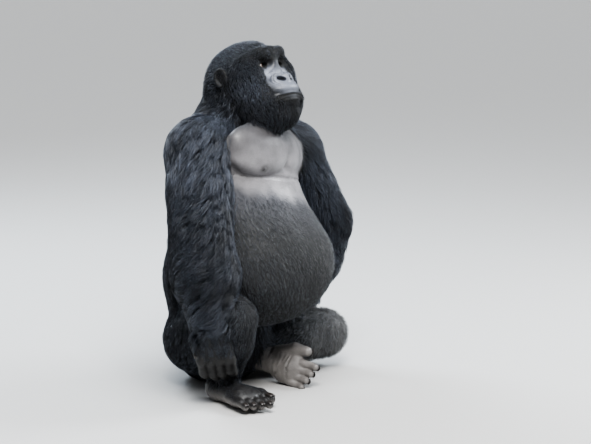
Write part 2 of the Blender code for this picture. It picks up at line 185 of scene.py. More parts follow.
class Form:
    """Balls and limbs, each with a region's name and the softness with which it joins the rest."""

    def __init__(self):
        self.items = []
        self.place = Matrix()  # the frame in which the next balls and limbs are given
        self.detail = True  # whether the thin grooves count

    def ball(self, region, centre, radii, turn=(0, 0, 0), blend=0.02, carve=False):
        place = self.place @ Matrix.Translation(centre) @ Euler(turn).to_matrix().to_4x4()
        inset = 0 if carve else DEPTH[region]
        radii = np.array([max(r * K - inset, 0.002) for r in radii])
        back, middle = inverse(place), np.array(place.translation)

        def distance(p):
            q = moved(p, back)
            q /= radii
            k0 = lengths(q)
            q /= radii
            return k0 * (k0 - 1) / np.maximum(lengths(q), 1e-9)

        low, high = middle - radii.max(), middle + radii.max()
        self.items.append(Item(region, distance, low, high, blend, carve, False))

    def limb(self, region, stations, blend=0.02, carve=False):
        """Round spans through the stations. A carved one is a groove: one item, so that it is even
        where its spans meet."""
        inset = 0 if carve else DEPTH[region]
        stops = [(np.array(self.place @ Vector(point)), max(radius * K - inset, 0.001))
                 for point, radius in stations]
        spans = list(zip(stops, stops[1:]))
        for group in [spans] if carve else [[span] for span in spans]:

            def distance(p, group=group):
                best = np.full(len(p), np.inf)
                for (a, ra), (b, rb) in group:
                    along = b - a
                    t = np.clip((p - a) @ along / max(along @ along, 1e-12), 0, 1)
                    gap = p - a - t[:, None] * along
                    best = np.minimum(best, lengths(gap) - (ra + (rb - ra) * t))
                return best

            ends = np.array([point for span in group for point, _ in span])
            widest = max(radius for span in group for _, radius in span)
            low, high = ends.min(axis=0) - widest, ends.max(axis=0) + widest
            self.items.append(Item(region, distance, low, high, blend, carve, carve))

    def close(self):
        """Gather the boxes of the items so far, which value() needs."""
        self.lows = np.array([item.low for item in self.items]) - FAR
        self.highs = np.array([item.high for item in self.items]) + FAR
        self.grooves = np.array([item.groove for item in self.items])

    def value(self, q):
        """Signed distance at points that lie close together, and the number of the nearest region."""
        d = np.full(len(q), FAR)
        nearest = np.full(len(q), FAR)
        region = np.zeros(len(q), np.int16)
        reached = np.all((self.lows < q.max(axis=0)) & (self.highs > q.min(axis=0)), axis=1)
        for number in np.flatnonzero(reached & (self.detail | ~self.grooves)):
            item = self.items[number]
            part = item.distance(q)
            if item.carve:
                d = -soft_min(-d, part, item.blend)
                continue
            d = soft_min(d, part, item.blend)
            closer = part < nearest
            nearest[closer] = part[closer]
            region[closer] = REGIONS.index(item.region)
        return d, region

    def measure(self, p):
        """Signed distance, outward slope and nearest region of any points."""
        d, slope, region = np.empty(len(p)), np.empty((len(p), 3)), np.empty(len(p), np.int16)
        for members in by_block(p):
            q = (p[members][None] + SLOPE_CORNERS[:, None]).reshape(-1, 3)
            values, regions = self.value(q)
            values = values.reshape(len(SLOPE_CORNERS), -1)
            d[members] = values[0]
            rise = np.einsum("ki,kn->ni", SLOPE_CORNERS[1:], values[1:])
            slope[members] = rise / (4 * SLOPE_STEP * SLOPE_STEP)
            region[members] = regions[:len(members)]
        return d, slope, region

    def touched(self, start, way):
        """Where a line from outside first meets the form so far. All in the frame in use."""
        spot, way = Vector(start), Vector(way).normalized()
        for _ in range(RAY_STEPS):
            gap = self.value(np.array(self.place @ (spot * K))[None])[0][0] / K
            if gap < RAY_END:
                break
            spot = spot + way * gap * RAY_SHARE
        return spot


class Field:
    """The form's signed distance on a grid, worked out only in the blocks near its surface."""

    def __init__(self, form, low, high, step):
        self.low, self.step = low, step
        blocks = np.ceil((high - low) / (step * CELLS)).astype(int)
        self.shape = tuple(blocks * CELLS)
        starts = lattice(*[np.arange(n) for n in blocks])
        middles = low + (starts + 0.5) * CELLS * step
        rough = np.empty(len(middles))
        for members in by_block(middles, WIDE_BLOCK):
            rough[members] = form.value(middles[members])[0]
        self.d = np.full(self.shape, FAR, np.float32)
        inner = lattice(*[np.arange(CELLS)] * 3)
        for start, middle in zip(starts, rough):
            place = tuple(slice(n * CELLS, n * CELLS + CELLS) for n in start)
            if abs(middle) > FAR * 0.98:
                self.d[place] = np.sign(middle) * FAR
                continue
            q = low + (start * CELLS + inner) * step
            self.d[place] = form.value(q)[0].reshape(CELLS, CELLS, CELLS)

    def sample(self, p):
        """Signed distance and outward slope at points, between the grid's own."""
        q = (p - self.low) / self.step
        cell = np.clip(np.floor(q).astype(int), 0, np.array(self.shape) - 2)
        x, y, z = cell.T
        c = [[[self.d[x + i, y + j, z + k] for k in (0, 1)] for j in (0, 1)] for i in (0, 1)]
        fx, fy, fz = np.clip(q - cell, 0, 1).T

        def mix(a, b, t):
            return a + (b - a) * t

        cx = [[mix(c[0][j][k], c[1][j][k], fx) for k in (0, 1)] for j in (0, 1)]
        cy = [mix(cx[0][k], cx[1][k], fy) for k in (0, 1)]
        gx = mix(*[mix(c[1][0][k] - c[0][0][k], c[1][1][k] - c[0][1][k], fy) for k in (0, 1)], fz)
        gy = mix(cx[1][0] - cx[0][0], cx[1][1] - cx[0][1], fz)
        return mix(cy[0], cy[1], fz), unit(np.stack([gx, gy, cy[1] - cy[0]], -1))


# --- trunk and limbs --------------------------------------------------------------------------


def breast_at(side):
    return RIBS + (CHEST_FRONT * 0.118 + CHEST_OUT * side * 0.096 + Vector((0.0, 0.0, 0.100))) * K


def breast_turn(side):
    return CHEST_TURN + side * radians(22)


def nipple_at(side):
    ahead = Vector((sin(breast_turn(side)), -cos(breast_turn(side)), 0.0))
    return breast_at(side) + (ahead * 0.0385 + CHEST_OUT * side * 0.008 - Vector((0, 0, 0.035))) * K


def crease_height(y):
    """How high the fold under the breasts runs above the ribs' middle, for a place across the chest."""
    return 0.040 - 0.185 * y - 0.5 * np.maximum(y - 0.03, 0.0) ** 2


def trunk_form(f):
    tilt = (0.0, LEAN, 0.0)
    f.ball("trunk", SEAT, (0.185, 0.165, 0.165), blend=0.03)
    f.ball("trunk", LOIN, (0.215, 0.155, 0.22), blend=0.04)
    f.ball("belly", BELLY, (0.25, 0.245, 0.20), blend=0.05)
    f.ball("belly", BELLY + v(0.0, 0.02, -0.03), (0.215, 0.215, 0.165), blend=0.04)
    f.ball("breast", RIBS + v(0.0, -0.01, 0.0), (0.21, 0.162, 0.23), tilt, 0.05)
    f.ball("trunk", YOKE, (0.23, 0.125, 0.125), tilt, 0.04)
    f.ball("belly", BELLY.lerp(RIBS, 0.5), (0.215, 0.19, 0.16), blend=0.06)
    back = v(0.0, 0.03, 0.0)
    f.limb("trunk", [(SEAT + back, 0.13), (LOIN + back, 0.15), (RIBS + back, 0.16), (YOKE, 0.13)], 0.05)
    for side in SIDES:
        breast, turn = breast_at(side), breast_turn(side)
        f.ball("breast", breast, (0.112, 0.049, 0.064), (radians(-6), LEAN, turn), 0.007)
        f.ball("breast", breast + v(0.0, 0.0, 0.045), (0.115, 0.042, 0.060), (radians(-14), LEAN, turn), 0.03)
        f.ball("breast", nipple_at(side), (0.0050, 0.0065, 0.0050), blend=0.006)
    f.close()
    f.place = CHEST
    fold = []
    for step in range(24):
        y = -0.185 + 0.015 * step
        spot = f.touched((0.35, y, crease_height(y)), (-1, 0, 0))
        fold.append((spot, 0.0045 - 0.0016 * abs(y + 0.02) / 0.17))
    f.limb("breast", fold, 0.006, carve=True)
    f.place = Matrix()
    throat = RIBS + CHEST_FRONT * 0.20 * K + v(0.0, 0.0, 0.225)
    f.ball("breast", throat, (0.05, 0.045, 0.05), blend=0.04, carve=True)


def root_form(f, shoulder):
    """The mass that joins an arm to the trunk."""
    f.ball("arm", shoulder, (0.115, 0.125, 0.13), blend=0.035)
    inner = (YOKE + v(0.0, 0.0, 0.03)).lerp(shoulder, 0.35)
    f.limb("arm", [(inner, 0.115), (shoulder, 0.11)], 0.03)


def arm_form(f, side, bulk):
    shoulder, elbow, wrist = SHOULDER[side], ELBOW[side], WRIST[side]
    upper = [(shoulder, 0.115), (shoulder.lerp(elbow, 0.5), 0.113 * bulk), (elbow, 0.110 * bulk)]
    f.limb("arm", upper, 0.012)
    fringe = elbow.lerp(wrist, 0.85)
    lower = [(elbow, 0.110 * bulk), (elbow.lerp(wrist, 0.4), 0.118 * bulk), (fringe, 0.08 * bulk)]
    f.limb("fore", lower, 0.012)
    f.limb("hand", [(fringe, 0.05), (wrist, 0.042)])


def leg_form(f, side, knee_radius, calf_radius, calf_share):
    knee, ankle = KNEE[side], ANKLE[side]
    f.limb("thigh", [(HIP[side], 0.12), (knee, knee_radius)])
    calf = knee.lerp(ankle, calf_share)
    f.limb("shank", [(knee, knee_radius), (calf, calf_radius), (ankle, 0.055)])


FINGERS = (0.92, 1.05, 1.0, 0.85)  # how long each is, as a share
FINGER_BONES = ((0.0, 0.0195), (0.052, 0.0170), (0.038, 0.0158), (0.026, 0.0130))  # length, radius


def hand_form(f, side, curl):
    """A hand: +X from the wrist to the knuckles, +Z its back, the thumb to its side."""
    f.place = HAND[side]
    f.limb("hand", [((0.0, 0, 0), 0.040), ((0.04, 0, 0.0), 0.042)], 0.01)
    f.ball("hand", (0.055, 0, 0), (0.055, 0.054, 0.029), blend=0.01)
    tips = []
    for number, share in enumerate(FINGERS):
        across = (number - 1.5) * -0.0285 * side
        point, bend = Vector((0.095, across, 0.002)), curl * 0.6
        stations = [(Vector((0.05, across * 0.8, 0)), 0.021)]
        for length, radius in FINGER_BONES:
            ahead = Vector((cos(bend), 0, -sin(bend)))
            point = point + ahead * length * share
            stations.append((point, radius))
            bend += curl if length else 0.0
        f.limb("hand", stations, 0.004)
        for joint, wide in stations[1:-1]:
            f.ball("hand", joint, (wide * 1.06,) * 3, blend=0.004)
        tips.append(Tip(f.place, point, ahead, radius))
    end = Vector((0.085, side * 0.062, -0.03))
    thumb = [((0.02, side * 0.035, -0.012), 0.021), ((0.055, side * 0.062, -0.022), 0.0165), (end, 0.0128)]
    f.limb("hand", thumb, 0.006)
    tips.append(Tip(f.place, end, Vector((1, 0, -0.25)).normalized(), 0.0128))
    return tips


def foot_form(f, side, curl):
    """A foot: +X from the heel to the toes, +Z its back, the big toe on the inner side."""
    f.place, inner = FOOT[side], -side
    f.ball("foot", (-0.03, 0, 0.0), (0.052, 0.045, 0.043), blend=0.015)
    f.limb("foot", [((-0.01, 0, 0.0), 0.042), ((0.10, -inner * 0.01, -0.004), 0.037)])
    f.ball("foot", (0.10, 0, -0.004), (0.062, 0.06, 0.031), blend=0.015)
    tips = []
    for number in range(4):
        across = inner * (0.024 - number * 0.0225)
        start = Vector((0.145 - number * 0.008, across, -0.008))
        joint = start + Vector((0.036, across * 0.12, 0.0))
        bend = Vector((cos(curl), 0, -sin(curl)))
        tip = joint + bend * 0.022
        f.limb("foot", [(start, 0.0165), (joint, 0.0140), (tip, 0.0128)], 0.004)
        tips.append(Tip(f.place, tip, bend, 0.0128))
    end = Vector((0.15, inner * 0.066, -0.012))
    big = [((0.05, inner * 0.03, -0.005), 0.028), ((0.105, inner * 0.060, -0.008), 0.022), (end, 0.018)]
    f.limb("foot", big, 0.01)
    tips.append(Tip(f.place, end, Vector((1, inner * 0.1, -0.1)).normalized(), 0.018))
    sole_creases(f)
    return tips


def sole_creases(f):
    """Lines across the sole, each a little bowed."""
    f.close()
    for number, ahead in enumerate((0.012, 0.030, 0.045, 0.058, 0.070, 0.082, 0.096, 0.112)):
        thick = 0.0014 + 0.0006 * (number % 2)
        line = []
        for step in range(7):
            across = (step - 3) * 0.0125
            bow = 0.004 * sin(across * 45 + number * 1.7)
            line.append((f.touched((ahead + bow, across, -0.09), (0, 0, 1)), thick))
        f.limb("foot", line, 0.004, carve=True)


# --- head: in its own frame, with the origin between the eyes and the face along -Y -------------

# region, middle, radii, softness
HEAD_BALLS = (("skull", (0, 0.09, 0.0), (0.106, 0.125, 0.085), 0.02),
              ("skull", (0, 0.115, 0.048), (0.066, 0.105, 0.055), 0.03),
              ("skull", (0, 0.165, -0.02), (0.108, 0.095, 0.105), 0.03),
              ("face", (0, 0.012, -0.026), (0.080, 0.026, 0.045), 0.015),
              ("face", (0, -0.014, -0.095), (0.064, 0.058, 0.053), 0.03),
              ("face", (0, -0.042, -0.097), (0.052, 0.038, 0.0215), 0.014),
              ("face", (0, -0.034, -0.134), (0.047, 0.042, 0.019), 0.012),
              ("chin", (0, -0.010, -0.163), (0.056, 0.050, 0.048), 0.015),
              ("chin", (0, 0.03, -0.165), (0.07, 0.085, 0.055), 0.03))
# and these on both sides
SIDE_BALLS = (("cheek", (0.07, 0.055, -0.045), (0.048, 0.085, 0.085), 0.03),
              ("cheek", (0.060, 0.03, -0.125), (0.05, 0.075, 0.065), 0.03),
              ("face", (0.046, 0.004, -0.038), (0.030, 0.020, 0.018), 0.015))
MUZZLE_BACK = -0.014  # where the rays that find the lips meet
MOUTH_TURN = radians(72)  # from the middle of the mouth to a corner


def mirrored(point, side):
    """A point of the left side, moved to the given side."""
    return Vector((point[0] * side, point[1], point[2]))


def head_form(f):
    f.place = Matrix()
    f.limb("neck", [(YOKE + v(0.0, -0.02, 0.05), 0.135), (HEAD @ v(0, 0.12, -0.06), 0.12)], 0.04)
    f.limb("neck", [(YOKE + v(0.0, 0.02, 0.03), 0.13), (HEAD @ v(0, 0.18, -0.05), 0.10)], 0.04)
    f.place = HEAD
    for region, middle, radii, blend in HEAD_BALLS:
        f.ball(region, middle, radii, blend=blend)
    f.ball("face", (0, -0.008, -0.022), (0.030, 0.021, 0.048), (radians(24), 0, 0))
    for side in SIDES:
        for region, middle, radii, blend in SIDE_BALLS:
            f.ball(region, mirrored(middle, side), radii, blend=blend)
        brow = [((0, -0.012, 0.034), 0.0205), ((side * 0.042, -0.009, 0.033), 0.021)]
        f.limb("brow", brow + [((side * 0.085, 0.028, 0.016), 0.018)], 0.015)
        nose_side(f, side)
        eye_form(f, side)
        ear_form(f, side)
    f.ball("face", (0, -0.056, -0.060), (0.0065, 0.014, 0.017), blend=0.006)
    for side in SIDES:
        turn = (0, -side * radians(20), side * radians(24))
        f.ball("face", (side * 0.0190, -0.0585, -0.0640), (0.0148, 0.020, 0.0074), turn, 0.003, carve=True)
    mouth_form(f)
    for side in SIDES:
        nose_folds(f, side)


def nose_side(f, side):
    """The padded rim round one nostril."""
    rim = []
    for step in range(11):
        angle = radians(36 * step)
        out, up = cos(angle), sin(angle)
        rim.append(((side * (0.0185 + 0.0185 * out), -0.0500 + 0.0100 * out + 0.002 * up,
                     -0.0645 + 0.0145 * up + 0.004 * out), 0.0082 - 0.0012 * up))
    f.limb("face", rim, 0.006)


def nose_folds(f, side):
    """Creases that follow the rim of a nostril on its outer side."""
    f.close()
    for wide, thick in ((1.0, 0.0020), (1.2, 0.0015)):
        fold = []
        for step in range(13):
            angle = radians(84 - 12 * step)
            out, up = 0.0285 * wide * cos(angle), 0.0255 * wide * sin(angle)
            spot = f.touched((side * (0.0165 + out), -0.14, -0.0640 + up), (0, 1, 0))
            fold.append((spot, thick * (1.0 - 0.5 * abs(step - 6) / 6)))
        f.limb("face", fold, 0.003, carve=True)


def mouth_height(turn):
    """The height of the line between the lips, for a turn of 0 in the middle and 1 at a corner."""
    return -0.1165 - 0.0115 * turn * turn


def mouth_form(f):
    """A line across the muzzle that drops towards its corners, between two soft lips."""
    f.close()
    ways, far = [], []
    for step in range(25):
        turn = (step - 12) / 12.0
        way, height = Vector((sin(turn * MOUTH_TURN), -cos(turn * MOUTH_TURN), 0)), mouth_height(turn)
        middle = Vector((0, MUZZLE_BACK, height))
        ways.append((way, height))
        far.append((f.touched(way * 0.14 + middle, -way) - middle).length)
    for _ in range(6):
        far = [(max(far[max(i - 1, 0)], far[i]) + far[i] + far[min(i + 1, 24)]) / 3 for i in range(25)]

    def line(out, rise):
        return [way * (reach + out) + Vector((0, MUZZLE_BACK, height + rise))
                for (way, height), reach in zip(ways, far)]

    for rise, thick in ((0.0060, 0.0054), (-0.0062, 0.0050)):
        f.limb("face", [(spot, thick) for spot in line(-0.0044, rise)[1:-1]], 0.007)
    f.limb("face", [(spot, 0.0027) for spot in line(0.0004, 0.0)], 0.003, carve=True)


def eye_form(f, side):
    """The socket, the ball and the upper lid, the bags below, and the slit between the lids."""
    x, y, z = side * EYE.x, EYE.y, EYE.z
    f.ball("face", (x + side * 0.001, y - 0.036, z + 0.002), (0.022, 0.022, 0.0145), blend=0.012, carve=True)
    f.ball("face", (x, y, z), (0.0152, 0.0152, 0.0152), blend=0.005)
    upper = [((x - side * 0.0165, y - 0.006, z + 0.0035), 0.0030), ((x, y - 0.0125, z + 0.0098), 0.0040),
             ((x + side * 0.0175, y - 0.003, z + 0.0030), 0.0032)]
    f.limb("face", upper, 0.004)
    for drop, ahead, thick in ((0.0095, 0.0, 0.0028), (0.0155, 0.003, 0.0036), (0.0225, 0.004, 0.0040)):
        bag = [((x - side * 0.0165, y - 0.0075 - ahead, z - drop * 0.75), thick * 0.8),
               ((x, y - 0.0120 - ahead, z - drop), thick),
               ((x + side * 0.0185, y - 0.0040 - ahead, z - drop * 0.75), thick * 0.8)]
        f.limb("face", bag, 0.005)
    slit = (x, y - 0.0165, z + 0.0002)
    f.ball("face", slit, (0.0140, 0.017, 0.0071), (0, side * radians(4), 0), 0.002, carve=True)


def ear_form(f, side):
    """The rim, the flat inside it, and the hollow of the ear."""
    centre = Vector((side * 0.102, 0.108, -0.012))
    rim = []
    for step in range(11):
        angle = radians(-70 + 29 * step)
        out = Vector((side * (0.012 + 0.005 * cos(angle)), 0.0, 0.0))
        rim.append((centre + out + Vector((0, 0.019 * cos(angle), 0.027 * sin(angle))), 0.0052))
    f.limb("ear", rim, 0.004)
    f.ball("ear", centre + Vector((side * 0.002, 0, 0)), (0.012, 0.019, 0.026), blend=0.006)
    hollow = centre + Vector((side * 0.018, -0.004, -0.002))
    f.ball("ear", hollow, (0.008, 0.009, 0.014), blend=0.005, carve=True)


def body_form():
    f = Form()
    trunk_form(f)
    for side in SIDES:
        root_form(f, SHOULDER[side])
    arm_form(f, RIGHT, 1.0)
    arm_form(f, LEFT, 0.9)
    leg_form(f, RIGHT, 0.085, 0.082, 0.4)
    leg_form(f, LEFT, 0.088, 0.078, 0.5)
    tips = hand_form(f, RIGHT, radians(38)) + hand_form(f, LEFT, radians(25))
    tips += foot_form(f, RIGHT, radians(20)) + foot_form(f, LEFT, radians(30))
    head_form(f)
    f.close()
    return f, tips


# --- meshing the skin -------------------------------------------------------------------------

GRID = 0.0062
MARGIN = 0.03  # of the grid, past the CAD's box
LONGEST_MOVE, LEAST_SLOPE = 0.0025, 0.4  # as a point is pulled onto the surface


def read(items, name, width, kind=np.float32):
    """One attribute of a mesh's parts as an array."""
    values = np.empty(len(items) * width, kind)
    items.foreach_get(name, values)
    return values.reshape(-1, width)


def coordinates(mesh):
    return read(mesh.vertices, "co", 3).astype(float)


def added(name, data):
    obj = bpy.data.objects.new(name, data)
    bpy.context.scene.collection.objects.link(obj)
    return obj


def tinted(mesh, colours):
    """Give each point of the mesh its colour."""
    layer = mesh.color_attributes.new("tint", "FLOAT_COLOR", "POINT")
    layer.data.foreach_set("color", colours.astype(np.float32).ravel())


def inside(p, boxes):
    """Which points lie in one of the boxes, each a frame and two corners in it."""
    found = np.zeros(len(p), bool)
    for place, low, high in boxes:
        q = moved(p, inverse(place))
        found |= np.all((q > low) & (q < high), axis=1)
    return found


def refine(mesh, boxes):
    """Halve the faces in the boxes."""
    bm = bmesh.new()
    bm.from_mesh(mesh)
    near = inside(coordinates(mesh), boxes)
    edges = [edge for edge in bm.edges if near[edge.verts[0].index] and near[edge.verts[1].index]]
    bmesh.ops.subdivide_edges(bm, edges=edges, cuts=1, use_grid_fill=True)
    bm.to_mesh(mesh)
    bm.free()


def settle(mesh, form, rounds, boxes=None):
    """Pull the points, or those in the boxes, onto the form's exact surface."""
    p = coordinates(mesh)
    chosen = np.arange(len(p)) if boxes is None else np.flatnonzero(inside(p, boxes))
    for _ in range(rounds):
        d, slope, _ = form.measure(p[chosen])
        steep = np.maximum(np.linalg.norm(slope, axis=1), LEAST_SLOPE)
        move = slope * (d / steep ** 2)[:, None]
        far = np.linalg.norm(move, axis=1)
        p[chosen] -= move * np.minimum(1.0, LONGEST_MOVE / np.maximum(far, 1e-9))[:, None]
    p[:, 2] = np.maximum(p[:, 2], SKIN_FLOOR)
    mesh.vertices.foreach_set("co", p.astype(np.float32).ravel())
    mesh.update()


def detail_boxes():
    """Where the skin is fine, finer and finest."""
    fine = [(HEAD, (-0.12, -0.13, -0.22), (0.12, 0.07, 0.07)),
            (CHEST, (0.05, -0.20, -0.03), (0.28, 0.19, 0.11))]
    for side in SIDES:
        fine += [(HEAD, (side * 0.115 - 0.03, 0.07, -0.06), (side * 0.115 + 0.03, 0.15, 0.04)),
                 (HAND[side], (0.05, -0.10, -0.16), (0.25, 0.10, 0.06)),
                 (FOOT[side], (-0.10, -0.10, -0.06), (0.26, 0.10, 0.07))]
    finer = [(HEAD, (-0.072, -0.13, -0.150), (0.072, 0.03, 0.030))]
    finest = [(HEAD, (-0.058, -0.13, -0.092), (0.058, 0.0, 0.012)),
              (HEAD, (-0.062, -0.13, -0.138), (0.062, -0.012, -0.098))]
    return fine, finer, finest


def make_skin():
    """The skin's mesh. The thin grooves count only in the last settling, on the refined mesh."""
    form, tips = body_form()
    form.detail = False
    low, high = np.array(LOW) - MARGIN, np.array(HIGH) + MARGIN
    field = Field(form, low, high, GRID)
    heights = low[2] + GRID * np.arange(field.shape[2])
    above_floor = np.maximum(field.d, (SKIN_FLOOR - heights)[None, None, :].astype(np.float32))
    grid = openvdb.FloatGrid(float(FAR))
    grid.copyFromArray(above_floor)
    points, quads = grid.convertToQuads(isovalue=0.0)
    mesh = bpy.data.meshes.new("skin")
    mesh.from_pydata((points * GRID + low).tolist(), [], quads[:, ::-1].tolist())
    drop_crumbs(mesh)
    settle(mesh, form, 1)
    levels = detail_boxes()
    for boxes in levels:
        refine(mesh, boxes)
        settle(mesh, form, 2, boxes)
    form.detail = True
    settle(mesh, form, 3, levels[0])
    return mesh, form, field, tips


def drop_crumbs(mesh):
    """Keep only the largest connected piece."""
    bm = bmesh.new()
    bm.from_mesh(mesh)
    left, best = set(bm.verts), set()
    while left:
        piece, front = set(), [left.pop()]
        while front:
            vert = front.pop()
            piece.add(vert)
            reached = {edge.other_vert(vert) for edge in vert.link_edges} & left
            left -= reached
            front += reached
        if len(piece) > len(best):
            best = piece
    bmesh.ops.delete(bm, geom=[vert for vert in bm.verts if vert not in best], context="VERTS")
    if bm.calc_volume(signed=True) < 0:
        bmesh.ops.reverse_faces(bm, faces=bm.faces)
    bm.to_mesh(mesh)
    bm.free()


# --- markings, the same on skin and coat, with painted sheen, highlights and shade --------------

SKIN_COLOURS = {"face": (0.066, 0.071, 0.084), "brow": (0.009, 0.010, 0.011), "ear": (0.008, 0.008, 0.009),
                "chin": (0.004, 0.004, 0.005), "cheek": (0.006, 0.007, 0.009), "foot": (0.022, 0.021, 0.021),
                "belly": (0.026, 0.027, 0.028), "breast": (0.245, 0.238, 0.248),
                "hand": (0.013, 0.0125, 0.0125)}
UNDER_FUR = (0.006, 0.007, 0.009)
BELLY_TOP = np.array((0.105, 0.108, 0.122))
SOLE = (0.200, 0.188, 0.180)
NAKED = {"face": 1.0, "ear": 0.4, "hand": 0.8, "foot": 0.9}
FLANK = at(0.0, 0.045, 0.45)
HEAD_BACK = inverse(HEAD)
# painted highlights on the nose and muzzle and under the eyes, and darker between the eyes;
# lighter (or darker) by, middle and radii in the head's frame (with its mirror image), softness
FACE_LIGHT_AND_SHADE = ((1.3, (0, -0.05, -0.060), (0.066, 0.075, 0.058), 0.45),
               (0.5, (0.036, -0.02, -0.034), (0.030, 0.03, 0.016), 0.5),
               (-0.65, (0, -0.02, 0.002), (0.030, 0.04, 0.022), 0.5))
# painted shade in the nostrils, and under the upper lids round the eyes
NOSTRILS = (0.019, -0.051, -0.0645), (0.0145, 0.011, 0.0065), 0.25
SOCKETS = (EYE.x, EYE.y - 0.01, EYE.z + 0.008), (0.024, 0.022, 0.013), 0.3
LIPS = (0, -0.05, -0.136), (0.075, 0.085, 0.0185), 0.12


def is_kind(kinds, *names):
    return np.isin(kinds, [REGIONS.index(name) for name in names])


def by_region(kinds, values, rest=0.0):
    """Each point's own value from a table by region's name."""
    return np.array([values.get(name, rest) for name in REGIONS])[kinds]


def weight(p, centre, radii, soft=0.35):
    """1 well inside an ellipsoid, 0 outside it, with a soft edge."""
    r = np.linalg.norm((p - np.array(centre)) / (np.array(radii) * K), axis=1)
    return 1.0 - smoothstep(1.0 - soft, 1.0 + soft, r)


def weights(q, centre, radii, soft):
    """The same in the head's frame, for an ellipsoid and its mirror image together."""
    middles = [v(*mirrored(centre, side)) for side in (SIDES if centre[0] else (LEFT,))]
    return np.minimum(sum(weight(q, middle, radii, soft) for middle in middles), 1)


def head_place(p):
    """Points in the head's own frame."""
    return moved(p, HEAD_BACK)


def knee_weight(p):
    return weight(p, KNEE[LEFT], (0.16, 0.14, 0.12), 0.4)


def grizzle_and_sheen(p):
    """How grey, from black (0) to the grizzled grey of the belly (1): grizzle on belly and knees, painted
    sheen on head and upper arms.
    """
    q = head_place(p)
    # grizzle on the belly and both knees; painted blue-grey sheen on the cheeks and the crown
    patches = [(0.72, p, BELLY + v(0.0, -0.06, 0.05), (0.25, 0.24, 0.27), 0.4),
               (1.35, p, KNEE[LEFT] + v(-0.02, -0.04, 0.01), (0.16, 0.14, 0.12), 0.6),
               (0.25, p, KNEE[RIGHT], (0.12, 0.12, 0.11), 0.4),
               (0.50, q, v(0, 0.02, -0.065), (0.13, 0.09, 0.060), 0.4),
               (0.28, q, v(0, 0.12, 0.10), (0.12, 0.16, 0.06), 0.4)]
    for side in SIDES:
        # painted sheen on the top of each upper arm
        upper = SHOULDER[side].lerp(ELBOW[side], 0.15) + v(0, 0, 0.03)
        patches.append((0.36, p, upper, (0.17, 0.17, 0.20), 0.6))
    return np.max([share * weight(*patch) for share, *patch in patches], axis=0)


def across_chest(p):
    """How far to the left of the breastbone, in the frame's units."""
    return (p - np.array(RIBS)) @ np.array(CHEST.col[1][:3]) / K


def bareness(p):
    """1 where the chest is bare, with a ragged lower edge above the belly."""
    front = smoothstep(0.02, -0.05, p[:, 1] / K - (RIBS.y / K - 0.055))
    across = np.abs((p[:, 0] - RIBS.x) / K - 0.19 * (p[:, 2] - RIBS.z) / K)
    y = across_chest(p)
    edge = 0.618 - 0.30 * y + 0.007 * np.sin(y * 55) + 0.004 * np.sin(y * 140 + 1)
    low = smoothstep(-0.030, 0.024, p[:, 2] / K - edge)
    high = 1.0 - smoothstep(0.835, 0.885, p[:, 2] / K)
    return front * low * high * (1.0 - smoothstep(0.20, 0.24, across))


def belly_top(p):
    """1 at the top of the belly, where its hair is thin and pale."""
    return smoothstep(0.46, 0.64, p[:, 2] / K + 0.25 * across_chest(p))


def bare_face(p):
    """1 on the bare middle of the face."""
    return weight(head_place(p), v(0, -0.065, -0.055), (0.060, 0.090, 0.070), 0.22)


def flanked(p, kinds):
    """The regions as they show: the back's coat on the flanks, and hair round the bare face."""
    kinds = kinds.copy()
    behind = p[:, 1] > FLANK.y + 0.25 * (p[:, 2] - FLANK.z)
    kinds[behind & is_kind(kinds, "belly", "breast")] = REGIONS.index("trunk")
    x, _, z = head_place(p).T / K
    face = is_kind(kinds, "face")
    kinds[face & (z > np.where(np.abs(x) < 0.022, 0.003, 0.013))] = REGIONS.index("brow")
    kinds[face & (np.abs(x) > 0.058) & (z < 0.013)] = REGIONS.index("cheek")
    kinds[face & (z < -0.136)] = REGIONS.index("chin")
    return kinds


def lit(colour, share):
    """Lighter by a share, or darker where it is negative."""
    return colour * (1 + share)[:, None]


def toward(colour, target, share):
    return colour + (np.array(target) - colour) * share[:, None]


def mouth_line(q):
    """1 on the line between the lips, for points in the head's frame."""
    turn = np.arctan2(q[:, 0], MUZZLE_BACK * K - q[:, 1]) / MOUTH_TURN
    above = np.abs(q[:, 2] / K - mouth_height(turn))
    return smoothstep(0.0044, 0.0024, above) * smoothstep(1.02, 0.95, np.abs(turn))


def trunk_colours(p, colour, front, chest):
    """Belly and chest, with the nipples, painted shade in the fold under the breasts, and painted shade at
    the throat.
    """
    height = belly_top(p)[:, None]
    belly = np.array(SKIN_COLOURS["belly"]) * (1 - height) + BELLY_TOP * height
    colour = toward(np.where(front[:, None], belly, colour), SKIN_COLOURS["breast"], chest)
    # painted shade on the upper chest under the chin
    colour = lit(colour, -0.55 * (smoothstep(0.735, 0.83, p[:, 2] / K) * front))
    for side in SIDES:
        colour = lit(colour, -0.62 * weight(p, nipple_at(side), (0.013, 0.013, 0.013), 0.5))
    # painted shade in the fold under the breasts
    fold = np.abs((p[:, 2] - RIBS.z) / K - crease_height(across_chest(p)))
    return lit(colour, -0.55 * smoothstep(0.006, 0.001, fold) * front)


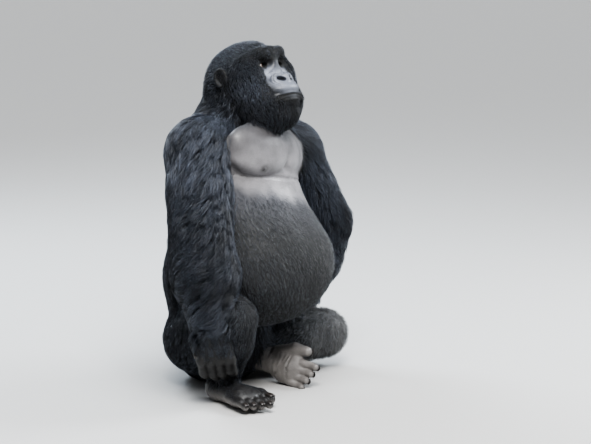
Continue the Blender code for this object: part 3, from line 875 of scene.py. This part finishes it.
def skin_colours(p, normal, region):
    """The skin's colour, and in the fourth channel how bare it is."""
    colour = by_region(region, SKIN_COLOURS, UNDER_FUR)
    furred = is_kind(region, "arm", "fore", "trunk", "thigh", "shank", "neck", "skull")
    # the skin under the coat takes the same grizzle and painted sheen
    colour = colour + 0.06 * (grizzle_and_sheen(p) * furred)[:, None]
    for place in FOOT.values():
        under = smoothstep(-0.15, 0.45, -(normal @ np.array(place.col[2][:3]))) * is_kind(region, "foot")
        under *= np.linalg.norm(p - np.array(place @ v(0.09, 0, -0.02)), axis=1) < 0.18 * K
        colour = toward(colour, SOLE, under)
    front = is_kind(region, "breast", "belly")
    chest = bareness(p) * front
    colour = trunk_colours(p, colour, front, chest)
    face, q = is_kind(region, "face"), head_place(p)
    colour = toward(colour, SKIN_COLOURS["cheek"], face * (1 - bare_face(p)))
    # painted highlights on the nose and under the eyes, and darker between the eyes
    for share, *place in FACE_LIGHT_AND_SHADE:
        colour = lit(colour, share * (weights(q, *place) * face))
    mouth = is_kind(region, "face", "chin")
    lips, line = weights(q, *LIPS) * mouth, mouth_line(q) * mouth
    nostrils, sockets = weights(q, *NOSTRILS), weights(q, *SOCKETS)
    # darker lips, and painted shade in the line between them, in the nostrils and in the eye sockets
    for share, darkness in ((0.60, lips), (0.97, line), (0.88, nostrils), (0.7, sockets)):
        colour = lit(colour, -share * darkness)
    bare = by_region(region, NAKED) * (1 - 0.6 * np.maximum(lips, line))
    return np.concatenate([colour, np.maximum(bare, chest)[:, None]], axis=1)


def smoothed(mesh, values, rounds):
    """Each point's values averaged with its neighbours', a few times over."""
    a, b = read(mesh.edges, "vertices", 2, np.int32).T
    count = (np.bincount(a, minlength=len(values)) + np.bincount(b, minlength=len(values)))[:, None]
    for _ in range(rounds):
        total = np.stack([np.bincount(a, column[b], len(values)) + np.bincount(b, column[a], len(values))
                          for column in values.T], -1)
        values = 0.4 * values + 0.6 * total / np.maximum(count, 1)
    return values


# --- materials --------------------------------------------------------------------------------


class Shader:
    """A Principled material with helpers for its nodes."""

    def __init__(self, name, roughness, **fixed):
        self.material = bpy.data.materials.new(name)
        self.material.use_nodes = True
        self.tree = self.material.node_tree
        self.shader = self.tree.nodes["Principled BSDF"]
        for socket, value in {"Roughness": roughness, **fixed}.items():
            self.shader.inputs[socket.replace("_", " ")].default_value = value

    def node(self, kind, inputs, output=0, **settings):
        """A node with its settings made and its inputs set or linked; gives one of its outputs."""
        made = self.tree.nodes.new("ShaderNode" + kind)
        for name, value in settings.items():
            setattr(made, name, value)
        for socket, value in inputs.items():
            if isinstance(value, bpy.types.NodeSocket):
                self.tree.links.new(value, made.inputs[socket])
            else:
                made.inputs[socket].default_value = value
        return made.outputs[output]

    def noise(self, scale, detail=4.0, vector=None, stretch=None):
        vector = vector or self.node("TexCoord", {}, "Object")
        if stretch:
            vector = self.node("Mapping", {"Vector": vector, "Scale": stretch})
        return self.node("TexNoise", {"Vector": vector, "Scale": scale, "Detail": detail}, "Fac")

    def ramp(self, value, low, high):
        """From low to high where the noise runs over its middle."""
        inputs = {"Value": value, "From Min": 0.3, "From Max": 0.7, "To Min": low, "To Max": high}
        return self.node("MapRange", inputs)

    def math(self, operation, a, b):
        return self.node("Math", {0: a, 1: b}, operation=operation)

    def scaled(self, colour, value):
        """A colour made lighter or darker by a value."""
        return self.node("VectorMath", {0: colour, "Scale": value}, operation="SCALE")

    def tint(self, output="Color"):
        return self.node("Attribute", {}, output, attribute_name="tint")

    def bump(self, height, strength, distance, **normal):
        return self.node("Bump", {"Height": height, "Strength": strength, "Distance": distance, **normal})

    def link(self, output, socket):
        self.tree.links.new(output, self.shader.inputs[socket])

    def uneven(self, colour, noise, low, high):
        """A base colour made lighter and darker by noise."""
        flat = self.node("RGB", {})
        flat.default_value = (*colour, 1)
        self.link(self.scaled(flat, self.ramp(noise, low, high)), "Base Color")
        return self.material


def skin_material():
    s = Shader("skin", 0.45, Specular_IOR_Level=0.55, Coat_Weight=0.08, Coat_Roughness=0.35)
    blotch = s.ramp(s.noise(18.0, 6.0), 0.72, 1.25)
    grain = s.ramp(s.noise(420.0, 3.0), 0.86, 1.12)
    s.link(s.scaled(s.tint(), s.math("MULTIPLY", blotch, grain)), "Base Color")
    dull = s.math("MULTIPLY", s.math("SUBTRACT", 1.0, s.tint("Alpha")), 0.38)
    s.link(s.math("ADD", s.ramp(s.noise(60.0, 4.0), 0.36, 0.56), dull), "Roughness")
    creases = s.bump(s.noise(95.0, 6.0, stretch=(1.0, 1.0, 2.4)), 0.30, 0.0022)
    pores = s.node("TexVoronoi", {"Scale": 520.0}, "Distance")
    s.link(s.bump(pores, 0.25, 0.0008, Normal=creases), "Normal")
    return s.material


def coat_material():
    s = Shader("coat", 0.36, Specular_IOR_Level=0.7, Sheen_Weight=0.35, Sheen_Roughness=0.35,
               Sheen_Tint=(0.70, 0.80, 1.0, 1.0))
    strands = s.noise(1.0, 3.0, s.node("UVMap", {}, uv_map="lock"), (14.0, 1.6, 1.0))
    s.link(s.scaled(s.tint(), s.ramp(strands, 0.35, 1.9)), "Base Color")
    s.link(s.ramp(strands, 0.36 - 0.08, 0.36 + 0.12), "Roughness")
    s.link(s.bump(strands, 0.6, 0.0012), "Normal")
    return s.material


def floor_material():
    s = Shader("floor", 0.8, Base_Color=(0.50, 0.495, 0.485, 1))
    s.link(s.bump(s.noise(260.0, 3.0), 0.05, 0.001), "Normal")
    return s.material


def eye_materials():
    """White, iris and pupil, all wet."""
    white = Shader("eye_white", 0.25, Coat_Weight=1.0, Coat_Roughness=0.03)
    iris = Shader("eye_iris", 0.3, Coat_Weight=1.0, Coat_Roughness=0.02)
    pupil = Shader("eye_pupil", 0.2, Coat_Weight=1.0, Coat_Roughness=0.02,
                   Base_Color=(0.002, 0.002, 0.002, 1))
    # the white is made light so that the eye shows in the shade under the brow: painted light
    return [white.uneven((0.30, 0.27, 0.25), white.noise(300.0), 0.7, 1.2),
            iris.uneven((0.050, 0.026, 0.016), iris.noise(900.0), 0.5, 1.6), pupil.material]


# --- growing the coat -------------------------------------------------------------------------

Roots = namedtuple("Roots", "place normal kinds side leader spacing")
OUTWARD = np.array([0.643, 0.766, 0.0])  # out to the side and back, on the left; mirrored on the right
# length, width (metres), how far the tips stand off as a share of the coat's depth, clumping, and the
# share of the black's own lightness, lowest on the chin as painted shade
HAIR = {"arm": (0.074, 0.0024, 0.95, 0.50, 1.0), "fore": (0.084, 0.0025, 1.0, 0.55, 1.0),
        "trunk": (0.056, 0.0030, 0.9, 0.5, 1.0), "belly": (0.020, 0.0011, 1.1, 0.55, 1.0),
        "breast": (0.012, 0.0010, 1.0, 0.3, 1.0), "neck": (0.048, 0.0028, 1.0, 0.6, 0.7),
        "skull": (0.022, 0.0022, 0.95, 0.4, 0.9), "cheek": (0.024, 0.0017, 0.9, 0.45, 1.0),
        "chin": (0.022, 0.0014, 1.1, 0.5, 0.18), "brow": (0.013, 0.0013, 1.1, 0.3, 0.22),
        "face": (0.006, 0.0007, 1.0, 0.2, 1.0), "ear": (0.013, 0.0011, 1.0, 0.2, 0.6),
        "thigh": (0.048, 0.0022, 0.85, 0.45, 1.0), "shank": (0.034, 0.0020, 0.9, 0.5, 0.8),
        "hand": (0.022, 0.0018, 0.9, 0.4, 0.7), "foot": (0.016, 0.0016, 0.9, 0.4, 0.8)}
# the coat's black, a painted blue-grey sheen of sky light on it, and the grey of its grizzle
BLACK, SHEEN_BLUE = np.array((0.0105, 0.0122, 0.0180)), np.array((0.130, 0.148, 0.188))
GREY = np.array((0.140, 0.141, 0.140))
PATCH = 0.003  # of a tuft on the map OFBake
TINT_ROUNDS = 6  # of smoothing for the skin's colours
FIRST_SEED = 11  # of the coat's pieces, each with its own


class Ground:
    """The skin's triangles with what the coat needs to know about them."""

    def __init__(self, mesh, form, field):
        self.field, self.form = field, form
        mesh.calc_loop_triangles()
        self.tri = read(mesh.loop_triangles, "vertices", 3, np.int32)
        self.points = coordinates(mesh)
        self.normals = read(mesh.vertex_normals, "vector", 3).astype(float)
        self.region = flanked(self.points, form.measure(self.points)[2])
        a, b, c = (self.points[self.tri[:, i]] for i in range(3))
        self.area = np.linalg.norm(np.cross(b - a, c - a), axis=1) / 2
        self.middle = (a + b + c) / 3
        self.middle_normal = unit(self.normals[self.tri].mean(axis=1))
        self.kind = self.region[self.tri[:, 0]]

    def scatter(self, rng, density, count):
        """Roots spread evenly for a density over the triangles: their places and normals."""
        share = np.cumsum(self.area * density)
        picks = (np.arange(count) + rng.random(count)) / count * share[-1]
        face = np.minimum(np.searchsorted(share, picks), len(share) - 1)
        r, s = np.sqrt(rng.random(count)), rng.random(count)
        mix = np.stack([1 - r, r * (1 - s), r * s], -1)[:, :, None]
        place = (self.points[self.tri[face]] * mix).sum(axis=1)
        return place, unit((self.normals[self.tri[face]] * mix).sum(axis=1))


def neighbours(rng, p, spacing):
    """For each root, the root that leads its clump: the nearest of a thinned-out few."""
    cell = np.floor(p / spacing).astype(np.int64)
    order = rng.permutation(len(p))
    found, first = np.unique(block_key(cell)[order], return_index=True)
    leader = order[first]
    best, chosen = np.full(len(p), np.inf), np.arange(len(p))
    for offset in lattice(*[(-1, 0, 1)] * 3):
        near = block_key(cell + offset)
        spot = np.minimum(np.searchsorted(found, near), len(found) - 1)
        far = np.linalg.norm(p - p[leader[spot]], axis=1)
        closer = (found[spot] == near) & (far < best)
        best[closer], chosen[closer] = far[closer], leader[spot][closer]
    return chosen


def own_side(side, vectors):
    """For each root, the vector of its own side of the body."""
    return np.where(side[:, None] < 0, np.array(vectors[RIGHT]), np.array(vectors[LEFT]))


def between(start, end):
    return {side: end[side] - start[side] for side in SIDES}


def sideways(x):
    """Vectors along X of the given lengths."""
    return np.stack([x, 0 * x, 0 * x], -1)


def body_flow(p, kinds, side):
    """The way the tips point on trunk and limbs, before it is laid along the skin."""
    down = np.tile([0.0, 0.0, -1.0], (len(p), 1))
    away = OUTWARD[None] * np.stack([side, np.ones(len(p)), np.zeros(len(p))], -1)
    on_top = unit(p - np.array(YOKE + v(0, 0, 0.12))) * 0.8 + 0.5 * down + 0.2 * away
    arm, trunk = is_kind(kinds, "arm"), is_kind(kinds, "trunk")
    ways = [(arm, 0.95 * down + 0.55 * away),
            (arm & (p[:, 2] > SHOULDER[LEFT].z - 0.02 * K), on_top),
            (is_kind(kinds, "fore"), 0.62 * down + 0.80 * away),
            (is_kind(kinds, "belly", "breast"), down + sideways(-(p[:, 0] - BELLY.x) / K * 2.6)),
            (trunk & (p[:, 1] > LOIN.y - 0.02 * K), down + 0.5 * sideways((p[:, 0] - LOIN.x) / K * 2.0))]
    for name, start, end in (("thigh", HIP, KNEE), ("shank", KNEE, ANKLE)):
        ways.append((is_kind(kinds, name), unit(own_side(side, between(start, end))) + 0.55 * down))
    for name, places in (("hand", HAND), ("foot", FOOT)):
        ahead = {key: place.col[0][:3] for key, place in places.items()}
        ways.append((is_kind(kinds, name), own_side(side, ahead)))
    out = down + 0.25 * away
    for mask, way in ways:
        out[mask] = way[mask]
    shin = unit(own_side(side, between(KNEE, ANKLE)))
    turns = ((HIP, 0.26, 0.14, ("thigh",), down + 0.45 * away),
             (KNEE, 0.19, 0.09, ("thigh", "shank"), 0.5 * shin + down + 0.6 * away))
    for joint, far, close, names, way in turns:
        gap = np.linalg.norm(p - own_side(side, joint), axis=1) / K
        near = (smoothstep(far, close, gap) * is_kind(kinds, *names))[:, None]
        out = out * (1 - near) + way * near
    return out, down + 0.3 * away


def flow(p, kinds, side):
    """The way the tips point, before it is laid along the skin."""
    out, nape = body_flow(p, kinds, side)
    turn, q = np.array(HEAD_TURN).T, head_place(p)
    for name, way in (("skull", (0, 1.0, 0.0)), ("cheek", (0, -0.26, -0.97)), ("chin", (0, 0.10, -1.0)),
                      ("brow", (0, 0.75, 0.65)), ("face", (0, -0.1, -1.0))):
        out[is_kind(kinds, name)] = np.array(way) @ turn
    behind = is_kind(kinds, "skull") & (q[:, 1] > 0.17)
    out[behind] = nape[behind]
    brow = is_kind(kinds, "brow")
    out[brow & (np.abs(q[:, 0]) > 0.055 * K)] = np.array((0, 0.9, -0.25)) @ turn
    out[brow] = (out + 0.5 * (sideways(q[:, 0] * 12) @ turn))[brow]
    return unit(out)


def tuft_lengths(rng, roots, length):
    """Varied, and shorter at the edge of the chest, on the muzzle and on the left knee."""
    p, count = roots.place, len(roots.place)
    length = length * rng.uniform(0.65, 1.15, count) * rng.uniform(0.85, 1.1, count)[roots.leader]
    edge = bareness(p) * is_kind(roots.kinds, "belly", "breast")
    muzzle = weight(head_place(p), v(0, -0.065, -0.068), (0.095, 0.11, 0.085), 0.25)
    return length * ((1 - 0.6 * edge) * (1 - 0.55 * muzzle) * (1 - 0.35 * knee_weight(p)))


def tuft_heights(rng, roots, stand):
    """How far each tip stands off the skin: less on top of the shoulders."""
    p, kinds = roots.place, roots.kinds
    on_top = weight(p, YOKE + v(0, 0, 0.07), (0.27, 0.22, 0.15), 0.5) * is_kind(kinds, "arm", "neck", "trunk")
    full = by_region(kinds, DEPTH) * K * stand
    return np.maximum(full * rng.uniform(0.15, 1.0, len(p)) ** 0.8 * (1 - 0.5 * on_top), 0.0018)


def tuft_paths(rng, roots, field, length, height, rings):
    """The points along each tuft, from just under the skin to the tip."""
    p, leader, count = roots.place, roots.leader, len(roots.place)
    wander = 0.22 * unit(rng.normal(size=(count, 3)))[leader] + 0.10 * unit(rng.normal(size=(count, 3)))
    way = unit(flow(p, roots.kinds, roots.side) + wander)
    wave = rng.uniform(0, 2 * pi, count)[leader]
    bend = rng.uniform(-1, 1, count)[leader]
    curl = 1.0 + 2.5 * is_kind(roots.kinds, "belly") * smoothstep(0.42, 0.28, p[:, 2] / K)
    path = [p - roots.normal * 0.0012]
    here, up = p, roots.normal
    for ring in range(1, rings + 1):
        s = ring / rings
        along = unit(way - up * np.sum(way * up, axis=1, keepdims=True) * 0.97)
        sway = (0.16 * np.sin(wave + 4.0 * s) + 0.16 * bend * s) * curl
        here = here + (along + np.cross(along, up) * sway[:, None]) * (length / rings)[:, None]
        d, up = field.sample(here)
        want = height * (0.55 + 0.45 * s) if ring < rings else height * 0.85
        here = here + up * np.clip(want - d, -0.02, 0.03)[:, None]
        path.append(here)
    return np.stack(path)


def clump(path, roots, pull):
    """Draw the tufts together towards their leaders, most at the tips."""
    for ring in range(1, len(path)):
        share = pull * (ring / (len(path) - 1)) ** 1.3
        gap = path[ring][roots.leader] - path[ring]
        near = np.linalg.norm(gap, axis=1) < 2.5 * roots.spacing
        path[ring] += gap * (share * near)[:, None]
    path[..., 2] = np.maximum(path[..., 2], PATH_FLOOR)


def tuft_colours(rng, roots, dark):
    """Each tuft's colour and how grey it is."""
    p, kinds, count = roots.place, roots.kinds, len(roots.place)
    grey = grizzle_and_sheen(p)
    bright = rng.uniform(0.4, 1.6, count) * rng.uniform(0.4, 1.6, count)[roots.leader]
    bright = bright ** (1 - 0.4 * np.clip(grey, 0, 1))
    speckle = smoothstep(0.75, 0.95, rng.random(count)) * grey * np.where(is_kind(kinds, "belly"), 1.0, 0.4)
    # grey grizzle on belly and legs; elsewhere the grey share is the painted blue-grey sheen
    warm = is_kind(kinds, "belly", "breast", "thigh", "shank", "foot")[:, None]
    pale = np.where(warm, GREY[None], SHEEN_BLUE[None]) * grey[:, None]
    black = BLACK[None] * dark[:, None]
    colour = (black * np.clip(1 - grey[:, None], 0, 1) + pale) * bright[:, None]
    # painted shade: beard and chin hair darker, as in the shadow under the jaw
    chin_shade = weight(head_place(p), v(0, 0, -0.175), (0.11, 0.12, 0.055), 0.4)
    thin = 0.55 * belly_top(p) * is_kind(kinds, "belly", "breast")
    colour = toward(lit(colour, -0.6 * chin_shade), BELLY_TOP, thin)
    return lit(colour, 1.1 * speckle), grey


def grow(name, ground, material, density, count, rings, seed, spacing, axis):
    """One piece of the coat: tapered three-sided tufts laid along the skin."""
    rng = np.random.default_rng(seed)
    place, normal = ground.scatter(rng, density, count)
    spread = place + rng.normal(0, 0.007, place.shape)
    kinds = flanked(spread, ground.form.measure(spread)[2])
    side = np.where(place[:, 0] < BELLY.x, -1.0, 1.0)
    roots = Roots(place, normal, kinds, side, neighbours(rng, place, spacing), spacing)
    length, width, stand, pull, dark = by_region(kinds, HAIR).T
    length, width = length * K, width * K
    length = tuft_lengths(rng, roots, length)
    height = tuft_heights(rng, roots, stand)
    path = tuft_paths(rng, roots, ground.field, length, height, rings)
    clump(path, roots, pull)
    colour, grey = tuft_colours(rng, roots, dark)
    width = width * rng.uniform(0.7, 1.2, count) * (1 - 0.35 * knee_weight(place))
    obj = tufts_object(name, path, roots, width, colour, grey, unwrap(place, *axis))
    obj.data.materials.append(material)
    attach(obj, "root")


def tuft_faces(rings):
    """Triangles between the rings of one tuft, to its tip and over its root."""
    faces = []
    for level in range(rings):
        for corner in range(3):
            a, b = level * 3 + corner, level * 3 + (corner + 1) % 3
            faces += [(a, b, rings * 3)] if level == rings - 1 else [(a, b, b + 3), (a, b + 3, a + 3)]
    return np.array(faces + [(0, 2, 1)])


def tufts_object(name, path, roots, width, colour, grey, unwrapped):
    """Three-vertex rings along each path, closed at the root and drawn to a point at the tip."""
    rings, count = len(path) - 1, len(width)
    per = rings * 3 + 1
    verts, shade, lock = np.empty((count, per, 3)), np.empty((count, per)), np.empty((count, per, 2))
    for level in range(rings):
        s = level / rings
        ahead = unit(path[level + 1] - path[max(level - 1, 0)])
        across = unit(np.cross(ahead, roots.normal))
        up = np.cross(across, ahead)
        wide = width * (0.55 + 0.45 * sin(pi * min(s * 1.5 + 0.2, 1.0)))
        for corner in range(3):
            number, angle = level * 3 + corner, 2 * pi * corner / 3 + pi / 2
            offset = across * (cos(angle) * wide / 2)[:, None]
            verts[:, number] = path[level] + offset + up * (sin(angle) * wide * 0.22)[:, None]
            # painted shade and highlight: each tuft darker at its root deep in the coat, lighter towards its
            # tip and along its upper ridge
            shade[:, number] = 0.22 + 0.85 * s + (0.12 if corner == 0 else -0.05)
            lock[:, number] = (corner / 2.0, s)
    verts[:, -1], shade[:, -1], lock[:, -1] = path[-1], 1.25, (0.5, 1.0)
    verts[..., 2] = np.maximum(verts[..., 2], TUFT_FLOOR)
    loops = (np.arange(count)[:, None, None] * per + tuft_faces(rings)[None]).reshape(-1).astype(np.int32)
    mesh = bpy.data.meshes.new(name)
    mesh.vertices.add(count * per)
    mesh.vertices.foreach_set("co", verts.astype(np.float32).ravel())
    mesh.loops.add(len(loops))
    mesh.loops.foreach_set("vertex_index", loops)
    mesh.polygons.add(len(loops) // 3)
    mesh.polygons.foreach_set("loop_start", np.arange(0, len(loops), 3, dtype=np.int32))
    mesh.update(calc_edges=True)
    mesh.polygons.foreach_set("use_smooth", np.ones(len(mesh.polygons), bool))
    soft = (np.clip(grey, 0, 1) * smoothstep(0.28, 0.46, roots.place[:, 2] / K))[:, None]
    shade = shade * (1 - soft) + (0.55 + 0.45 * shade) * soft
    tips = 1 + 0.5 * grey[:, None] * smoothstep(0.7, 1.1, shade)
    tint = np.ones((count, per, 4))
    tint[..., :3] = colour[:, None] * (shade * tips)[..., None]
    tinted(mesh, tint)
    jitter = (np.arange(count) * 0.618034 % 1.0) * 7.0
    for uv_name, uv in (("OFBake", unwrapped[:, None] + (lock - 0.5) * PATCH),
                        ("lock", lock + np.stack([jitter, jitter * 3.3], -1)[:, None])):
        uv_layer = mesh.uv_layers.new(name=uv_name)
        uv_layer.data.foreach_set("uv", uv.reshape(-1, 2)[loops].astype(np.float32).ravel())
    return added(name, mesh)


def unwrap(p, start, end, front):
    """Round an axis of the body: the angle about it and the place along it, both within 0 to 1."""
    along = np.array(end - start)
    along = along / np.linalg.norm(along)
    front = np.array(front) - along * (np.array(front) @ along)
    front /= np.linalg.norm(front)
    q = p - np.array(start)
    angle, t = np.arctan2(q @ np.cross(along, front), q @ front), q @ along
    low, high = t.min() - 0.01, t.max() + 0.01
    return np.stack([0.5 + 0.48 * angle / pi, 0.01 + 0.98 * (t - low) / (high - low)], -1)


def end_hair(p, n, places, full, near, far, soft, heel):
    """How thick the hair is on each hand or foot: on its back, less towards the fingers or toes,
    and all round where it is nearer to the wrist than the heel of the hand."""
    thick = {}
    for side, place in places.items():
        along = ((p - np.array(place.translation)) @ np.array(place.to_3x3()))[:, 0]
        back = smoothstep(soft, 0.5, n @ np.array(place.col[2][:3]))
        thick[side] = smoothstep(far, near, along) * np.where(along < heel, 1.0, back) * full
    return thick


def head_hair(p, kind):
    """How thick the hair is on the head: none on the bare face and in front of the eyes."""
    thick = by_region(kind, {"skull": 1.0, "neck": 0.7, "cheek": 1.25, "chin": 1.6, "brow": 2.0, "ear": 1.1,
                             "face": 1.2})
    thick *= 1 - 0.97 * bare_face(p)
    q = head_place(p)
    for side in SIDES:
        thick *= 1 + 1.3 * weight(q, v(side * 0.088, 0.035, 0.0), (0.035, 0.05, 0.035), 0.4)
    thick *= p[:, 2] > ROOT_FLOOR
    return thick * (1 - weights(q, (EYE.x, EYE.y - 0.012, EYE.z + 0.003), (0.028, 0.04, 0.0215), 0.10))


def grow_coat(ground):
    """The whole coat, each piece under 200,000 triangles."""
    p, kind, material = ground.middle, ground.kind, coat_material()
    above_floor = p[:, 2] > ROOT_FLOOR
    hands = end_hair(p, ground.middle_normal, HAND, 1.2, 0.03, 0.085, 0.1, 0.02)
    feet = end_hair(p, ground.middle_normal, FOOT, 1.3, 0.07, 0.155, 0.15, -np.inf)
    plan = []

    def part(*names):
        return is_kind(kind, *names) * 1.0 * above_floor

    def limbs(name, thick, counts, rings, spacing, start, end, ends=None, hair=None):
        """The same piece on the right and on the left, with hair on the hand or foot at its end."""
        for side, letter, count in zip(SIDES, "rl", counts):
            own = (p[:, 0] > BELLY.x) == (side == LEFT)
            density = thick * own
            if ends:
                density += is_kind(kind, ends) * own * hair[side]
            axis = (start[side], end[side], (side, 0, 0))
            plan.append((name + letter, density, count, rings, spacing, axis))

    limbs("coat_arm_", part("arm"), (12200, 8600), 3, 0.026, ELBOW, SHOULDER)
    limbs("coat_forearm_", part("fore"), (11000, 7200), 3, 0.028, WRIST, ELBOW, "hand", hands)
    spine = (SEAT, YOKE, (0, -1, 0))
    bare = bareness(p) * is_kind(kind, "belly", "breast")
    plan += [("coat_back", part("trunk") * (p[:, 2] > LOIN.z), 11600, 3, 0.022, spine),
             ("coat_rump", part("trunk") * (p[:, 2] <= LOIN.z), 7000, 3, 0.020, spine),
             ("coat_belly", part("belly", "breast") * (1 - bare) ** 2, 19300, 2, 0.011, spine)]
    limbs("coat_leg_", part("thigh", "shank"), (9500, 10500), 2, 0.018, ANKLE, KNEE, "foot", feet)
    skull = (EYES - v(0, -0.09, 0.2), EYES + v(0, 0.09, 0.1), (0, -1, 0))
    plan.append(("coat_head", head_hair(p, kind), 19500, 2, 0.011, skull))
    for seed, (name, density, count, rings, spacing, axis) in enumerate(plan, FIRST_SEED):
        grow(name, ground, material, density, count, rings, seed, spacing * K, axis)


# --- eyes and nails ---------------------------------------------------------------------------

GAZE = Vector((0.12, -1.0, 0.10)).normalized()
CORNEA, PUPIL, CORNEA_RISE = 0.86, 0.955, 0.10  # how far ahead each begins, as a share of the radius
NAIL_THICK, NAIL_LOWEST = 0.0012, 0.012


def build_eyes():
    kinds = eye_materials()
    for side, name in ((RIGHT, "eye_r"), (LEFT, "eye_l")):
        bpy.ops.mesh.primitive_uv_sphere_add(segments=48, ring_count=32, radius=EYE_RADIUS * K)
        ball = bpy.context.object
        ball.name = "eyeball_" + name[-1]
        for vert in ball.data.vertices:
            ahead = vert.co.z / (EYE_RADIUS * K)
            if ahead > CORNEA:
                vert.co *= 1.0 + CORNEA_RISE * (ahead - CORNEA) / 0.14
        for kind in kinds:
            ball.data.materials.append(kind)
        for face in ball.data.polygons:
            ahead = face.center.normalized().z
            face.material_index = 2 if ahead > PUPIL else 1 if ahead > CORNEA else 0
            face.use_smooth = True
        turn = HEAD.to_3x3() @ GAZE.to_track_quat("Z", "Y").to_matrix()
        place = HEAD @ (mirrored(EYE, side) * K)
        ball.data.transform(Matrix.Translation(place) @ turn.to_4x4())
        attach(ball, "root")
        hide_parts(name)


def nail_points(tip):
    """Six rows of seven points over the back of a finger's or toe's tip."""
    turn = tip.place.to_3x3()
    x = (turn @ tip.ahead).normalized()
    z = (turn @ Vector((-tip.ahead[2], 0, tip.ahead[0]))).normalized()
    y, points = z.cross(x), []
    for row in range(6):
        along = -0.55 + 1.35 * row / 5
        lift = 1.0 + 0.035 - 0.30 * max(along, 0.0) ** 2
        for column in range(7):
            across = -0.72 + 1.44 * column / 6
            angle = across * 1.05
            back = along - 0.25 * across * across * max(along, 0)
            spot = x * back + y * lift * sin(angle) + z * lift * cos(angle)
            points.append(tuple(tip.place @ tip.point + spot * tip.radius))
    return points


def build_nails(tips):
    """A curved plate on the back of each finger and toe that is clear of the floor."""
    verts, faces = [], []
    for tip in tips:
        if (tip.place @ tip.point).z < NAIL_LOWEST:
            continue
        corners = [len(verts) + 7 * row + column for row in range(5) for column in range(6)]
        faces += [(a, a + 1, a + 8, a + 7) for a in corners]
        verts += nail_points(tip)
    mesh = bpy.data.meshes.new("nails")
    mesh.from_pydata(verts, [], faces)
    mesh.polygons.foreach_set("use_smooth", np.ones(len(faces), bool))
    s = Shader("nail", 0.32, Coat_Weight=0.2)
    mesh.materials.append(s.uneven((0.035, 0.030, 0.028), s.noise(150.0, stretch=(1, 1, 4)), 0.7, 1.3))
    nails = added("nails", mesh)
    thick = nails.modifiers.new("thick", "SOLIDIFY")
    thick.thickness, thick.offset = NAIL_THICK, 0.0
    bpy.context.view_layer.objects.active = nails
    bpy.ops.object.modifier_apply(modifier="thick")
    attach(nails, "root")


# --- the dressed animal -----------------------------------------------------------------------


def build_skin():
    mesh, form, field, tips = make_skin()
    skin = added("skin", mesh)
    mesh.polygons.foreach_set("use_smooth", np.ones(len(mesh.polygons), bool))
    mesh.materials.append(skin_material())
    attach(skin, "root")
    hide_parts(*[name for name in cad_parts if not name.startswith("eye")])
    ground = Ground(mesh, form, field)
    colours = skin_colours(ground.points, ground.normals, ground.region)
    tinted(mesh, smoothed(mesh, colours, TINT_ROUNDS))
    return ground, tips


# --- camera, light and floor ------------------------------------------------------------------

PHOTO_AZIMUTH, PHOTO_ELEVATION = radians(-50), radians(10)
DISTANCE = 8.0
FIELD = 1.8912  # metres across the picture at that distance
AIM_ASIDE, AIM_UP = 0.1456, 0.5329  # from the body's axis to the middle of the picture
SENSOR = 36.0  # millimetres
FLOOR_RADIUS, FLOOR_SWEEP, FLOOR_TOP, SPOKES = 18.0, 5.0, 9.0, 96


def aimed(name, data, place, way):
    """A camera or light at a place, looking along a way."""
    obj = added(name, data)
    obj.location = place
    obj.rotation_mode = "QUATERNION"
    obj.rotation_quaternion = way.to_track_quat("-Z", "Y")
    return obj


def build_camera():
    data = bpy.data.cameras.new("camera")
    a, e = PHOTO_AZIMUTH, PHOTO_ELEVATION
    back = Vector((sin(a) * cos(e), -cos(a) * cos(e), sin(e)))
    right = Vector((cos(a), sin(a), 0.0))
    aim = right * AIM_ASIDE * K + Vector((0, 0, AIM_UP * K)) - SEAT_AT * K
    data.sensor_width = SENSOR
    data.lens = SENSOR * DISTANCE / (FIELD * K)
    data.clip_end = 100.0
    bpy.context.scene.camera = aimed("camera", data, aim + back * DISTANCE, -back)


def add_light(name, kind, place, way, power, colour):
    data = bpy.data.lights.new(name, kind)
    data.energy, data.color = power, colour
    light = aimed(name, data, place, way)
    return data


def area_light(name, place, aim, size, power, colour):
    data = add_light(name, "AREA", place, Vector(aim) - Vector(place), power, colour)
    data.shape, data.size, data.size_y = "RECTANGLE", size, size * 0.8


def build_light():
    world = bpy.data.worlds.new("studio")
    world.use_nodes = True
    sky = world.node_tree.nodes["Background"]
    sky.inputs["Color"].default_value = (0.88, 0.93, 1.0, 1)
    sky.inputs["Strength"].default_value = 0.34
    bpy.context.scene.world = world
    add_light("sky", "SUN", (0, 0, 0), Vector((0.25, 0.30, -1.0)), 2.3, (0.96, 0.98, 1.0)).angle = radians(45)
    aim = (0.0, 0.0, 0.7)
    area_light("key", (-2.0, -2.2, 3.6), aim, 1.6, 150, (1.0, 0.98, 0.95))
    area_light("rim", (0.6, 2.8, 3.0), aim, 1.8, 120, (0.80, 0.90, 1.0))
    area_light("side", (2.4, -1.8, 2.4), (0.15, -0.2, 0.4), 1.6, 90, (0.92, 0.96, 1.0))
    bpy.context.scene.view_settings.look = "AgX - High Contrast"


def build_floor():
    """A round floor whose far edge sweeps up, so that it meets the background without a line."""
    profile = [(FLOOR_RADIUS, 0.0)]
    for step in range(1, 13):
        angle = radians(7.5 * step)
        profile.append((FLOOR_RADIUS + FLOOR_SWEEP * sin(angle), FLOOR_SWEEP - FLOOR_SWEEP * cos(angle)))
    profile.append((FLOOR_RADIUS + FLOOR_SWEEP, FLOOR_TOP))
    angles = [2 * pi * spoke / SPOKES for spoke in range(SPOKES)]
    verts = [(far * cos(angle), far * sin(angle), high) for far, high in profile for angle in angles]
    faces = [tuple(range(SPOKES))]
    for row in range(len(profile) - 1):
        for spoke in range(SPOKES):
            a, b = row * SPOKES + spoke, row * SPOKES + (spoke + 1) % SPOKES
            faces.append((a, a + SPOKES, b + SPOKES, b))
    mesh = bpy.data.meshes.new("floor")
    mesh.from_pydata(verts, [], faces)
    mesh.polygons.foreach_set("use_smooth", np.arange(len(mesh.polygons)) > 0)
    mesh.materials.append(floor_material())
    added("floor", mesh)


ground, tips = build_skin()
grow_coat(ground)
build_eyes()
build_nails(tips)
build_floor()
build_light()
build_camera()
